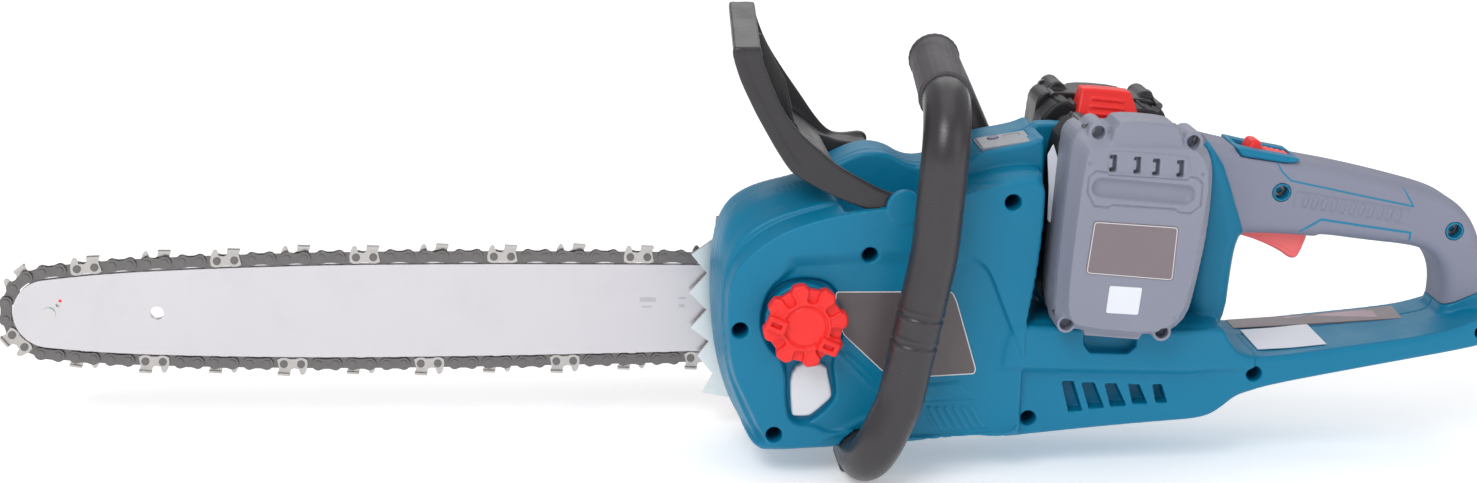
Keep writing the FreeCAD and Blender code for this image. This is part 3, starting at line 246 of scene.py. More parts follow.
# Colour, roughness, grain scale along x, y and z, variation, bump, stain, painted edge highlight.
METALS = {
    "etch": ((0.52, 0.50, 0.53), 0.5, (900, 900, 900), 0.2, 0.1),
    "brass": ((0.48, 0.36, 0.17), 0.4, (600, 600, 600), 0.15),
    "copper": ((0.72, 0.30, 0.14), 0.35, (900, 900, 900), 0.2, 0.3),
    "bar": ((0.66, 0.635, 0.665), 0.42, (25, 700, 2600), 0.06, 0.10, 0.10, 0.1),
    "chain": ((0.120, 0.112, 0.112), 0.36, (700, 700, 700), 0.25, 0.3, 0.3, 0.4),
    "cutter": ((0.42, 0.40, 0.385), 0.28, (300, 900, 900), 0.15, 0.2, 0.25, 0.3),
    "steel": ((0.58, 0.57, 0.57), 0.3, (600, 600, 600), 0.12, 0.2, 0.1),
    "black_steel": ((0.045, 0.044, 0.048), 0.38, (600, 600, 600), 0.2, 0.2, 0.1, 0.5),
    "screw": ((0.085, 0.083, 0.088), 0.3, (600, 600, 600), 0.2, 0.2, 0.1, 0.7),
    "spike": ((0.74, 0.80, 0.80), 0.36, (300, 700, 700), 0.08, 0.15, 0.12, 0.15),
    "alloy": ((0.52, 0.53, 0.55), 0.45, (500, 500, 500), 0.12, 0.35, 0.15),
    "laminated": ((0.25, 0.25, 0.26), 0.42, (200, 3500, 200), 0.3, 0.5, 0.1),
    "spring": ((0.42, 0.42, 0.43), 0.3, (800, 800, 800), 0.1, 0.2, 0.1),
}
FINISHES = {}
for key, row in PLASTICS.items():
    FINISHES[key] = plastic("m_" + key, *row[:7], **(row[7] if len(row) > 7 else {}))
for key, row in METALS.items():
    FINISHES[key] = metal("m_" + key, *row)


# ---------------------------------------------------------------- distance fields
def segment_offset(x, z, start, end):
    """Offset in X and Z from the nearest point of a segment."""
    run_x, run_z = end[0] - start[0], end[1] - start[1]
    off_x, off_z = x - start[0], z - start[1]
    length_squared = run_x * run_x + run_z * run_z + 1e-12
    share = np.clip((off_x * run_x + off_z * run_z) / length_squared, 0, 1)
    return off_x - run_x * share, off_z - run_z * share


def flat(x, z, outline):
    """Exact signed distance to a closed outline in the X-Z plane."""
    points = np.asarray(outline, np.float32)
    shape = np.broadcast(x, z).shape
    squared = np.full(shape, 1e12, np.float32)
    outside = np.ones(shape, bool)
    for i, here in enumerate(points):
        before = points[i - 1]
        off_x, off_z = segment_offset(x, z, here, before)
        squared = np.minimum(squared, off_x * off_x + off_z * off_z)
        above, below = z >= here[1], z < before[1]
        turn_left = ((before[0] - here[0]) * (z - here[1])
                     > (before[1] - here[1]) * (x - here[0]))
        outside ^= (above & below & turn_left) | (~above & ~below & ~turn_left)
    return np.where(outside, 1.0, -1.0).astype(np.float32) * np.sqrt(squared)


def line_dist(x, z, points):
    """Distance to an open line in the X-Z plane."""
    return np.minimum.reduce([np.hypot(*segment_offset(x, z, start, end))
                              for start, end in zip(points, points[1:])])


def radial(x, z, centre):
    return np.hypot(x - centre[0], z - centre[1])


def angle_about(x, z, centre):
    return np.arctan2(z - centre[1], x - centre[0])


def turned(x, z, angle, centre):
    """Coordinates about a centre after a turn in the X-Z plane."""
    cosine, sine = math.cos(angle), math.sin(angle)
    x, z = x - centre[0], z - centre[1]
    return x * cosine - z * sine, x * sine + z * cosine


def band(value, middle, half):
    return np.abs(value - middle) - half


def join(solid, part, soft=0):
    """Union, blended over soft millimetres."""
    if not soft:
        return np.minimum(solid, part)
    share = np.clip(0.5 + 0.5 * (part - solid) / soft, 0, 1)
    return part + (solid - part) * share - soft * share * (1 - share)


def clip(solid, limit, soft=0):
    """Intersection, rounded over soft millimetres."""
    return -join(-solid, -limit, soft) if soft else np.maximum(solid, limit)


def cut(solid, tool, soft=0):
    return clip(solid, -tool, soft)


def slab(section, y, y0, y1, edge=0.0):
    """An X-Z section run from y0 to y1, with rounded edges."""
    across = section + edge
    along = np.abs(y - (y0 + y1) / 2) - (y1 - y0) / 2 + edge
    outside = np.hypot(np.maximum(across, 0), np.maximum(along, 0))
    return np.minimum(np.maximum(across, along), 0) + outside - edge


def prism(x, y, z, outline, y0, y1, edge=0.0):
    return slab(flat(x, z, outline), y, y0, y1, edge)


def disc(x, y, z, centre, radius, y0, y1, edge=0.0):
    return slab(radial(x, z, centre) - radius, y, y0, y1, edge)


def box(x, y, z, x_range, y_range, z_range, edge=0.0):
    over = [np.abs(value - (low + high) / 2) - (high - low) / 2 + edge
            for value, (low, high) in zip((x, y, z), (x_range, y_range, z_range))]
    inside = np.minimum(np.maximum(over[0], np.maximum(over[1], over[2])), 0)
    outside = np.sqrt(np.maximum(over[0], 0) ** 2 + np.maximum(over[1], 0) ** 2
                      + np.maximum(over[2], 0) ** 2)
    return inside + outside - edge


def rectangle(x, z, x_range, z_range, edge=0.0):
    return box(x, 0, z, x_range, (-1, 1), z_range, edge)


def ease(share):
    share = np.clip(share, 0, 1)
    return share * share * (3 - 2 * share)


def patch(x, z, outline, margin, width):
    """1 well inside an outline, easing to 0 at margin outside it."""
    return ease((margin - flat(x, z, outline)) / width)


def share_between(outer, inner):
    """0 on the outer outline, 1 on the inner one, from their distances."""
    from_outer, from_inner = np.maximum(-outer, 0), np.maximum(inner, 0)
    return from_outer / (from_outer + from_inner + 1e-3)


def cut_corners(points, rounds=2):
    """Smooths a closed outline by cutting each corner at its quarter points."""
    for _ in range(rounds):
        smoother = []
        for start, end in zip(points, points[1:] + points[:1]):
            for near, far in ((0.75, 0.25), (0.25, 0.75)):
                smoother.append((start[0] * near + end[0] * far, start[1] * near + end[1] * far))
        points = smoother
    return points


def mirror(shape):
    return lambda x, y, z: shape(x, -y, z)


# ---------------------------------------------------------------- objects
def add_object(name, mesh, finish, body, smooth=True):
    mesh.materials.append(FINISHES[finish])
    if smooth:
        mesh.polygons.foreach_set("use_smooth", np.ones(len(mesh.polygons), bool))
    part = bpy.data.objects.new(name, mesh)
    bpy.context.scene.collection.objects.link(part)
    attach(part, body)
    return part


def polygon_mesh(name, points, tris, quads):
    mesh = bpy.data.meshes.new(name)
    tri_count, quad_count = len(tris), len(quads)
    mesh.vertices.add(len(points))
    mesh.vertices.foreach_set("co", np.asarray(points, np.float32).ravel())
    mesh.loops.add(tri_count * 3 + quad_count * 4)
    corners = [np.asarray(faces, np.int32).ravel() for faces in (tris, quads)]
    mesh.loops.foreach_set("vertex_index", np.concatenate(corners))
    mesh.polygons.add(tri_count + quad_count)
    starts = [np.arange(tri_count) * 3, tri_count * 3 + np.arange(quad_count) * 4]
    mesh.polygons.foreach_set("loop_start", np.concatenate(starts).astype(np.int32))
    # Guards against loop_total being read-only, where Blender works it out from loop_start.
    try:
        totals = np.concatenate([np.full(tri_count, 3), np.full(quad_count, 4)])
        mesh.polygons.foreach_set("loop_total", totals.astype(np.int32))
    except Exception:
        pass
    mesh.update(calc_edges=True)
    mesh.validate()
    return mesh


def field_mesh(name, shape, low, high, cell, move):
    """Turns a distance field in millimetres into a mesh in metres."""
    cell *= COARSEN
    low = np.array(low, float) - 2.5 * cell
    high = np.array(high, float) + 2.5 * cell
    counts = np.ceil((high - low) / cell).astype(int) + 1
    axes = [(low[i] + cell * np.arange(counts[i], dtype=np.float32)).astype(np.float32)
            for i in range(3)]
    field = np.broadcast_to(shape(*np.ix_(*axes)), tuple(counts)).astype(np.float32)
    reach = 3 * cell
    field = np.clip(field, -reach, reach)
    # The outermost layer counts as empty, so that every surface closes.
    for i in (0, -1):
        field[i] = field[:, i] = field[:, :, i] = reach
    grid = vdb.FloatGrid(reach)
    grid.copyFromArray(np.ascontiguousarray(field))
    points, tris, quads = grid.convertToPolygons(isovalue=0.0, adaptivity=0.0)
    points = np.asarray(points, float) * cell + low
    quads = np.asarray(quads, np.int64).reshape(-1, 4)
    tris = np.asarray(tris, np.int64).reshape(-1, 3)
    # Faces are flipped if they enclose a negative volume.
    centre = points.mean(0)
    first, second, third = (points[quads[:, i]] - centre for i in range(3))
    if np.einsum("ij,ij->", first, np.cross(second, third)) < 0:
        quads = quads[:, ::-1]
        tris = tris[:, ::-1]
    if move is not None:
        points = move(points)
    return polygon_mesh(name, points * MM, tris, quads)


def tilted(degrees, centre_x, centre_z, shift=(0, 0, 0)):
    """A move that turns points about a centre in the X-Z plane, then shifts them."""
    cosine, sine = math.cos(math.radians(degrees)), math.sin(math.radians(degrees))

    def move(points):
        x, z = points[:, 0] - centre_x, points[:, 2] - centre_z
        return np.stack([centre_x + x * cosine + z * sine + shift[0],
                         points[:, 1] + shift[1],
                         centre_z - x * sine + z * cosine + shift[2]], 1)
    return move


def piece(name, shape, low, high, cell, finish, body, replaced=None, slot=None, move=None):
    """A field shape meshed between two corners; the slot argument is not used."""
    part = add_object(name, field_mesh(name, shape, low, high, cell, move), finish, body)
    if replaced:
        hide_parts(replaced)


def around(centre, reach, y0, y1):
    """Low and high corner of a square box about a centre."""
    return ((centre[0] - reach, y0, centre[1] - reach),
            (centre[0] + reach, y1, centre[1] + reach))


# ---------------------------------------------------------------- places from the CAD pieces
def cad_box(name):
    low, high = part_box(name)
    return np.array(low) * 1000, np.array(high) * 1000


def cad_middle(name):
    """Centre of a CAD piece in X and Z."""
    low, high = cad_box(name)
    return (low[0] + high[0]) / 2, (low[2] + high[2]) / 2


LEFT_LOW, LEFT_HIGH = cad_box("left_housing")
RIGHT_LOW, RIGHT_HIGH = cad_box("right_housing")
CAP = cad_middle("oil_cap")
SHAFT = cad_middle("drive_shaft")
KNOB = cad_middle("lock_knob")
PIVOT = cad_middle("guard_pivot_pins")
TRIGGER_PIN = cad_middle("trigger_pin")

# ---------------------------------------------------------------- shared outlines, (x, z)
MID_WALL = cut_corners([(20, 60), (27, 168), (33, 171.5), (60, 169), (128, 162.2), (130, 60)], 1)
# Hump across the top of the housing.
HUMP = cut_corners([
    (-99, 118), (-98, 138.5), (-90, 143.5), (-78, 150.0), (-67, 155), (-57, 156.3), (-48, 154),
    (-41, 149.5), (-33, 147.8), (-24, 149.5), (-12, 156), (-2, 161.5), (22, 165.6), (29, 169),
    (31, 168), (31, 118)])
# Lower shell and rear plate under the packs.
LOWER = cut_corners([
    (10, 4.2), (22, 5.0), (66, 9.2), (105, 12.2), (119, 12.8), (127, 14.2), (132.5, 17),
    (141, 24.6), (148, 27.4), (164, 31.6), (194, 37.2), (222, 42.2), (274, 51.4), (286, 55.5),
    (290.5, 61), (288, 66), (277, 68), (262, 62), (240, 57.5), (200, 52.5), (165, 48),
    (150, 47.5), (141, 50), (135, 58), (131, 66), (108, 65), (30, 69), (10, 70)])
HANDLE_OUTER = cut_corners([
    (114, 62), (118, 40), (150, 26), (283, 54), (290.5, 61), (288.5, 80), (285.5, 97),
    (279.5, 114), (270, 125.5), (258, 132.5), (231, 139.8), (201, 146.8), (181, 150.5),
    (160, 154.6), (132, 161.0), (122, 163.4), (116, 162)])
HANDLE_OPENING = cut_corners([
    (137, 43), (150, 44), (200, 49.5), (256, 57.5), (264, 64), (264.5, 80), (261, 91),
    (254, 99), (244, 102.8), (217, 106), (191, 109.6), (189, 107.8), (178, 109.2), (148, 110.6),
    (141.5, 108), (139.5, 97)])
# Part of the handle covered by the overmould.
GRIP_REGION = [
    (112, 192), (121.2, 164), (125.8, 157.4), (130.9, 149.5), (135.6, 137.5), (139.2, 127),
    (147.0, 110), (150, 84), (200, 80), (256, 65.8), (262, 67.2), (272, 71.4), (282, 75.8),
    (300, 84), (310, 192)]
# Collar round the lock-off slot.
BEZEL = [
    (139.6, 159.4), (142.3, 154.8), (146, 154.0), (167, 150.8), (171.5, 150.8), (175.0, 151.8),
    (175.8, 152.9), (172.0, 153.8), (150, 157.9), (141, 160.0)]
# Wall where the handle meets the pack bay.
REAR_WALL = cut_corners([
    (116.5, 60), (118.6, 100), (120, 130), (121.0, 164), (126, 162), (132, 152), (138, 133),
    (144, 112), (141, 98), (138.5, 57)])
VENTS = [
    [(43.8, 35.9), (50.4, 35.8), (56.3, 18.5), (48.6, 18.1)],
    [(54.9, 34.6), (62.1, 34.5), (68.4, 20.1), (59.9, 19.6)],
    [(67.7, 34.0), (74.3, 33.8), (80.6, 21.1), (71.9, 20.6)],
    [(81.0, 33.6), (87.1, 33.2), (92.2, 22.1), (84.0, 22.2)],
    [(94.3, 33.4), (99.6, 33.0), (103.3, 22.4), (96.9, 22.6)]]
WINDOW = cut_corners([
    (-105.6, 49.5), (-86.1, 49.5), (-84.4, 41), (-82.2, 31.5), (-83.4, 28.6), (-93.0, 20.0),
    (-95.5, 19.2), (-102.4, 19.2), (-104.4, 20.4)])
HANDLE_SCREWS = [(166.4, 134.5), (266.1, 111.9), (277.5, 60.5)]


# ---------------------------------------------------------------- parts of both housing halves
def handle_section(x, z):
    return cut(flat(x, z, HANDLE_OUTER), flat(x, z, HANDLE_OPENING), 3.0)


def handle_frame(x, y, z):
    """Bare rear handle, with its core thinner under the overmould."""
    region = flat(x, z, GRIP_REGION) - 0.15
    section = handle_section(x, z)
    outer = cut(slab(section, y, -17.3, 17.3, 6.5), region, 0.5)
    core = slab(section, y, -15.2, 15.2, 5.0) + 1.6
    wall = cut(prism(x, y, z, REAR_WALL, -23.5, 23.5, 8.0), region, 0.8)
    bezel = prism(x, y, z, BEZEL, -17.7, 17.7, 2.2)
    solid = join(join(join(outer, wall, 7.0), core), bezel)
    for centre in HANDLE_SCREWS[:2]:
        solid = join(solid, disc(x, y, z, centre, 5.1, -17.75, 0, 0.6))
    return solid


def handle_slots(solid, x, y, z):
    """Cuts the slots for the lock-off slider and the trigger."""
    along, above = turned(x, z, math.radians(13.2), (160, 153.9))
    solid = cut(solid, box(along, y, above, (-18.2, 14.2), (-7.4, 7.4), (-9, 20), 1.5))
    return cut(solid, box(x, y, z, (141.0, 190.2), (-6.8, 6.8), (90, 124), 1.0))


def rear_plate(x, y, z, y0, y1, inset):
    """Plate under the rear handle, drawn in by inset on its +Y side."""
    plan = box(x, y + inset * (y > 0), 0 * z, (-100, 291), (y0, y1), (-50, 50), 13.0)
    return clip(prism(x, y, z, LOWER, y0, y1, 3.2), plan, 1.5)


def sole_grooves(x, z):
    """Row of eight round grooves along the rising sole."""
    return np.minimum.reduce([
        np.hypot(x - (-28.5 + 7.1 * i), z - (2.4 + 0.047 * (7.1 * i + 4.5)) + 0.3) - 2.15
        for i in range(8)])


# ---------------------------------------------------------------- left housing
LEFT_EDGE = cut_corners([
    (-115, -1.8), (-82, -0.4), (-33, 2.2), (18, 4.6), (23, 7), (21.5, 64), (22.5, 76), (25, 90),
    (28, 120), (28.5, 150.5), (26.5, 153.8), (17, 154.5), (-5, 151), (-24, 147), (-36, 144.5),
    (-60, 143.8), (-80, 142.8), (-90, 141.2), (-103, 138.2), (-117, 134.8), (-127, 130.4),
    (-135.0, 124.5), (-140.4, 115.8), (-143.2, 105), (-144.8, 85), (-144.6, 68), (-142.2, 44),
    (-138.4, 26), (-131.0, 9), (-121.5, -2)])
# Where the side face begins, inside the shoulder.
RIM = cut_corners([
    (-113.5, 2.2), (-119.1, 8), (-127.8, 27.5), (-136.2, 44.1), (-139.2, 65.2), (-139.5, 84.7),
    (-138.0, 95.7), (-131.9, 106.7), (-116.2, 118.9), (-104.4, 124.9), (-86, 130.3),
    (-64.9, 134.2), (-40.9, 134.8), (-30, 138), (-15, 143.5), (-2, 146), (22, 148.5),
    (27.5, 146), (28.5, 138), (28, 118), (25, 92), (22, 74), (20.5, 60), (20, 11), (17, 8.4),
    (-33, 6.2), (-82, 3.6)])
LABEL_RECESS = cut_corners([
    (-109.7, 110.8), (-90, 111.8), (-67.3, 112.5), (-16.5, 113.2), (-5.6, 108.6), (1.6, 99.6),
    (7.7, 84.2), (15.4, 65.9), (22.3, 50.3), (25.6, 37.5), (24.4, 21.8), (19.3, 9.5), (8, 6.5),
    (-60, 5.5), (-72, 10), (-84, 9), (-92.6, 13.5), (-102.1, 13.6), (-108.3, 20.8),
    (-109.5, 51), (-116.5, 55.8), (-122.6, 67), (-122.8, 80), (-118.4, 92), (-110, 101)])
CAP_RECESS = cut_corners([
    (-106.7, 97.4), (-117.2, 90.6), (-121.6, 79.6), (-121.4, 67), (-115.1, 55.8),
    (-108.3, 51.5), (-108.3, 21.8), (-102.1, 14.6), (-92.6, 14.5), (-79.4, 27.1), (-79.7, 37),
    (-82, 50), (-77.5, 60), (-76, 74), (-79, 88), (-88, 97)])
# Shoulder profiles: share of the way from edge to rim, and y there.
FRONT_SHOULDER = (
    [0, .02, .08, .18, .34, .46, .52, .60, .66, .74, .90, .97, 1.0],
    [-9, -13, -18, -22.5, -28.5, -35.0, -37.2, -38.2, -38.0, -38.6, -46.2, -48.8, -49.7])
REAR_SHOULDER = ([0, .1, .3, .7, 1.0], [-36, -42, -45.5, -48.6, -49.7])
# Raised creases between cap and sole: line, height, width.
CREASES = [
    ([(-78.8, 54), (-67.7, 42.5), (-55, 29.2), (-37.3, 28)], 1.0, 1.6),
    ([(-74.8, 53.9), (-56.6, 36.7), (-37, 34.5)], 0.7, 1.6),
    ([(-88, 7), (-72.2, 12.7), (-64.2, 16.9), (-50, 17.2), (-40, 14)], 1.0, 1.8)]
RAISED_BLOCK = [(-38.6, 35.6), (-13.1, 38.0), (-6.8, 30.8), (-22.7, 28.2), (-40.5, 27.6)]
STRIPE_FRAME = [(-33.5, 25.8), (-5.2, 27.0), (4.2, 9.6), (-24.0, 8.8)]
TOP_NOTCH = [
    (-94, 166), (-84, 140), (-76, 130), (-70, 126.8), (-38, 126.8), (-32, 131), (-27, 140),
    (-20, 166)]
SHELL_NOTCH = [(52.6, 75), (53.3, 58.4), (56.8, 53.8), (77.9, 53.0), (82.1, 56.9), (83, 75)]
BODY_SCREWS = [
    (-132.7, 68.6), (-113.5, 9.5), (-64.4, 109.5), (10.9, 138.0), (26.4, 14.5), (151.2, 38.0)]


def left_side_face(x, z, edge):
    """y of the left side face, with its recesses and raised details."""
    share = share_between(edge, flat(x, z, RIM))
    face = np.interp(share, *FRONT_SHOULDER)
    to_rear = np.maximum(ease((x + 20) / 30), ease((10 - z) / 8))
    face = face * (1 - to_rear) + np.interp(share, *REAR_SHOULDER) * to_rear
    # The label recess slopes broadly along its top and is short elsewhere.
    slope = 2.2 + 7.5 * ease((z - 92) / 14) * ease((2 - x) / 24)
    face = face + 2.7 * patch(x, z, LABEL_RECESS, 0, slope) * ease((z + 2) / 9)
    face = face + 3.2 * patch(x, z, CAP_RECESS, 0, 1.8)
    for points, height, width in CREASES:
        face = face - height * np.exp(-(line_dist(x, z, points) / width) ** 2)
    face = face - 1.0 * patch(x, z, RAISED_BLOCK, 0.6, 1.2)
    for i in range(6):
        left = -30.6 + 4.6 * i
        stripe = [(left, 23.4), (left + 2.4, 23.8), (left + 9.6, 11.6), (left + 7.2, 11.2)]
        face = face - 1.0 * patch(x, z, stripe, 0.5, 1.0)
    return face - 0.7 * ease(0.6 - band(flat(x, z, STRIPE_FRAME), 0, 0.3))


def left_lower_shell(x, y, z):
    """Shell under the left pack, set back at the vents, and the rear plate."""
    face = -49.0 + 7.2 * ease((47.0 - 0.03 * (x - 30) - z) / 8.0) + 5.0 * ease((x - 104) / 40)
    face = face + 1.2 * ease((14.0 + 0.07 * (x - 30) - z) / 5) * ease((x - 20) / 8)
    shell = clip(clip(flat(x, z, LOWER), face - y, 3.0), x - 150, 1.0)
    shell = cut(shell, prism(x, y, z, SHELL_NOTCH, -60, -36, 0.8), 0.8)
    return join(shell, rear_plate(x, y, z, -41.5, 40, 0.0), 4.0)


def left_housing(x, y, z):
    edge = flat(x, z, LEFT_EDGE)
    solid = clip(edge, (left_side_face(x, z, edge) - y) * 0.8, 2.2)
    solid = cut(solid, prism(x, y, z, TOP_NOTCH, -46.2, 20, 1.2))
    solid = cut(solid, sole_grooves(x, z), 0.5)
    hump_face = -8.0 - 22.5 * ease((x + 36) / 26)
    solid = join(solid, clip(flat(x, z, HUMP), hump_face - y, 2.6), 1.6)
    # Ear for the guard pivot, and the web under it.
    solid = join(solid, disc(x, y, z, PIVOT, 9.6, -50.6, -46.5, 1.0))
    web_x = (PIVOT[0] - 7, PIVOT[0] + 7)
    solid = join(solid, box(x, y, z, web_x, (-40.4, -36), (118, PIVOT[1]), 1.0))
    solid = join(solid, left_lower_shell(x, y, z), 3.0)
    for vent in VENTS:
        solid = cut(solid, prism(x, y, z, vent, -60, -33.0))
    solid = join(solid, prism(x, y, z, MID_WALL, -5.8, 5.8, 2.0))
    solid = join(solid, handle_frame(x, y, z), 2.0)
    # Oil cap seat, window opening and the seat of the status panel.
    solid = join(solid, disc(x, y, z, CAP, 20.6, -52.8, -40, 0.8))
    solid = cut(solid, disc(x, y, z, CAP, 17.2, -60, -30))
    solid = cut(solid, slab(flat(x, z, WINDOW) - 0.15, y, -60, -44.0))
    solid = cut(solid, box(x, y, z, (-0.3, 24.3), (-15.3, -1.7), (160.2, 180)))
    for centre in BODY_SCREWS:
        solid = cut(solid, clip(radial(x, z, centre) - 4.3, y + 11.0), 1.2)
    for centre in HANDLE_SCREWS:
        solid = cut(solid, clip(radial(x, z, centre) - 3.9, y + 11.0))
    solid = handle_slots(solid, x, y, z)
    # Channel for the lower run of the front handle.
    solid = cut(solid, clip(radial(x, z, (-66, -2)) - 13.1, y + 8.8))
    return clip(solid, y + 0.03, 0.9)


piece("left_shell", left_housing, (LEFT_LOW[0], LEFT_LOW[1] - 0.8, LEFT_LOW[2] - 0.5),
      (LEFT_HIGH[0] + 1, 0.2, LEFT_HIGH[2] + 0.5), 0.80, "housing", "saw_frame", "left_housing")

# ---------------------------------------------------------------- right housing
RIGHT_EDGE = cut_corners([
    (-115, -1.8), (-82, -0.4), (-33, 2.2), (20, 4.6), (24, 7), (20.5, 76), (27, 150), (20, 152),
    (-5, 150), (-24, 146), (-41, 146), (-57, 152), (-67, 151.5), (-78, 147), (-97, 138.5),
    (-117, 133.8), (-127, 129.6), (-135.0, 123.8), (-140.4, 115), (-143.2, 105), (-144.8, 85),
    (-144.6, 68), (-142.2, 44), (-138.4, 26), (-131.0, 9), (-121.5, -2)])
# Depth inside the edge, and y of the side face there.
RIGHT_SHOULDER = ([0, 1, 3, 6, 9, 10.5, 12], [14, 20, 25, 28, 28.6, 29.6, 30.0])
BAR_PAD = [(-118, 34), (-76, 34), (-76, 76), (-118, 76)]


def right_housing(x, y, z):
    edge = flat(x, z, RIGHT_EDGE)
    solid = clip(edge, (y - np.interp(-edge, *RIGHT_SHOULDER)) * 0.8, 1.6)
    solid = join(solid, clip(flat(x, z, HUMP), y - 24.0, 4.0), 1.5)
    solid = cut(solid, sole_grooves(x, z), 1.2)
    inset = 9.0 * np.clip((x - 150) / 100, 0, 1)
    solid = join(solid, rear_plate(x, y, z, -40, 29.6, inset), 4.0)
    solid = join(solid, prism(x, y, z, MID_WALL, -5.8, 5.8, 2.0))
    solid = join(solid, handle_frame(x, y, z), 2.0)
    solid = join(solid, prism(x, y, z, BAR_PAD, 20, 32.3, 0.8))
    # Ear for the guard pivot on its post, with a gap for the guard's arm.
    post_x = (PIVOT[0] - 9, PIVOT[0] + 9)
    ear = join(radial(x, z, PIVOT) - 9, rectangle(x, z, post_x, (112, PIVOT[1])))
    solid = join(solid, slab(ear, y, 30.4, 33.3, 0.6))
    solid = join(solid, box(x, y, z, post_x, (24, 33.3), (112, 120), 1.0))
    gap = disc(x, y, z, PIVOT, 40, 24.4, 30.2)
    solid = np.maximum(solid, -gap - 500.0 * (z < 121.5))
    # Drum well, tension screw hole, vents and grooves along the top.
    solid = cut(solid, disc(x, y, z, SHAFT, 31.5, 16.5, 60, 1.0), 1.0)
    solid = cut(solid, disc(x, y, z, KNOB, 4.1, 20, 60), 0.4)
    for vent in VENTS:
        solid = cut(solid, prism(x, y, z, vent, 20, 60))
    for i in range(5):
        groove_x = (-30 + 10 * i, -27 + 10 * i)
        solid = cut(solid, box(x, y, z, groove_x, (22, 50), (104, 120), 1.0))
    solid = handle_slots(solid, x, y, z)
    return clip(solid, -y + 0.03, 0.9)


piece("right_shell", right_housing, (RIGHT_LOW[0], -0.2, RIGHT_LOW[2] - 0.5),
      (RIGHT_HIGH[0] + 1, RIGHT_HIGH[1] + 0.3, RIGHT_HIGH[2] + 0.5), 0.95, "housing",
      "saw_frame", "right_housing")

# ---------------------------------------------------------------- rear grip and trigger
GRIP_EDGE = 7.5
GRIP_PANEL = [(174.4, 135.3), (239.6, 124.7), (237, 116.1), (173.4, 126.2)]


def palm_swell(x):
    return 0.8 * np.exp(-((x - 215) / 30) ** 2)


def grip_rib(x, z, i):
    left = 178.0 + 5.3 * i
    low = 127.0 - 0.158 * (left - 176)
    outline = [(left, low), (left + 2.6, low - 0.4), (left + 4.2, low + 5.6),
               (left + 1.6, low + 6.0)]
    return patch(x, z, outline, 0.3, 0.8)


def grip(x, y, z):
    half = 17.6 + palm_swell(x)
    solid = slab(handle_section(x, z), y, -half, half, GRIP_EDGE)
    solid = clip(solid, flat(x, z, GRIP_REGION) + 0.12, 0.6)
    solid = cut(solid, slab(flat(x, z, BEZEL) - 0.3, y, -30, 30))
    solid = cut(solid, box(x, y, z, (140.9, 190.3), (-7.0, 7.0), (84, 121), 1.0))
    for centre in HANDLE_SCREWS[:2]:
        solid = cut(solid, radial(x, z, centre) - 5.25, 0.5)
    # Sunk side panel with slanted ribs standing in it.
    panel = patch(x, z, GRIP_PANEL, 0.5, 1.0) * 0.7
    ribs = np.maximum.reduce([grip_rib(x, z, i) for i in range(11)])
    return solid + np.where(np.abs(y) > 13, panel - 0.9 * ribs * (panel > 0.3), 0)


TRIGGER = cut_corners([
    (143, 121), (143, 109.5), (146, 108), (159, 104), (172, 97.8), (177.5, 93.6), (181.0, 93.4),
    (183.4, 96.2), (186.8, 106), (188, 113), (180, 120), (160, 121)], 1)
TRIGGER_GROOVE = [
    (150, 110.5), (160, 106.2), (173, 100), (178.5, 96.5), (181, 98), (184, 107), (184, 112),
    (150, 112)]


def trigger(x, y, z):
    solid = prism(x, y, z, TRIGGER, -6.1, 6.1, 2.4)
    groove = band(flat(x, z, TRIGGER_GROOVE), 0, 0.35)
    solid = cut(solid, clip(groove, 5.6 - np.abs(y)), 0.4)
    return cut(solid, disc(x, y, z, TRIGGER_PIN, 2.1, -9, 9))


piece("palm_overmould", grip, (112, -19.5, 58), (292, 19.5, 168), 0.62, "grip_grey",
      "saw_frame", "rear_handle_grip")
piece("throttle_trigger", trigger, (140, -7, 90), (190, 7, 123), 0.45, "trigger_red",
      "trigger_lever", "trigger")


# ---------------------------------------------------------------- oil cap and tank window
def oil_cap(x, y, z):
    """Eight-lobed cap with a U notch in each valley and two tabs on its face."""
    lobe_angle = math.radians(10)
    reach = radial(x, z, CAP)
    waves = np.cos(8 * (angle_about(x, z, CAP) - lobe_angle))
    rim = 21.3 + 1.45 * np.tanh(2.2 * waves)
    solid = clip((reach - rim) * 0.9, band(y, -57.6, 4.1), 2.0)
    solid = join(solid, clip(reach - 13.4, band(y, -50, 7.0), 1.0), 0.6)
    for i in range(8):
        valley = lobe_angle + math.radians(22.5 + 45 * i)
        out, across = turned(x, z, -valley, CAP)
        notch = join(clip(np.abs(across) - 2.7, 15.0 - out), np.hypot(out - 15.6, across) - 2.7)
        solid = cut(solid, clip(notch, y + 59.0), 0.9)
        lip = clip(band(notch, 0.9, 0.45), reach - rim + 0.8)
        solid = join(solid, clip(lip, clip(-62.1 - y, y + 58)), 0.5)
    ring = clip(band(reach, 12.6, 0.55), clip(-62.3 - y, y + 58))
    solid = join(solid, ring, 0.7)
    solid = cut(solid, clip(band(reach, 10.9, 0.5), y + 61.0), 0.6)
    along, across = turned(x, z, math.radians(24), CAP)
    across = across + 4.5
    for sign in (-1, 1):
        middle = sign * 15.2
        tab = box(along, y, across, (middle - 5.6, middle + 5.6), (-66.3, -60), (-3.8, 3.8), 1.5)
        solid = join(solid, tab, 1.4)
        slot_x = (middle - 3.4, middle + 2.6)
        solid = cut(solid, box(along, y, across, slot_x, (-70, -63.4), (-1.3, 1.3), 0.4))
    return solid


def tank_window(x, y, z):
    """Window pane with the filler neck and its floor."""
    solid = slab(flat(x, z, WINDOW) + 0.1, y, -47.8, -38, 1.6)
    reach = radial(x, z, CAP)
    solid = join(solid, clip(band(reach, 15.4, 1.5), band(y, -40, 9.5), 0.5))
    return join(solid, clip(reach - 16.9, band(y, -31.5, 1.2)))


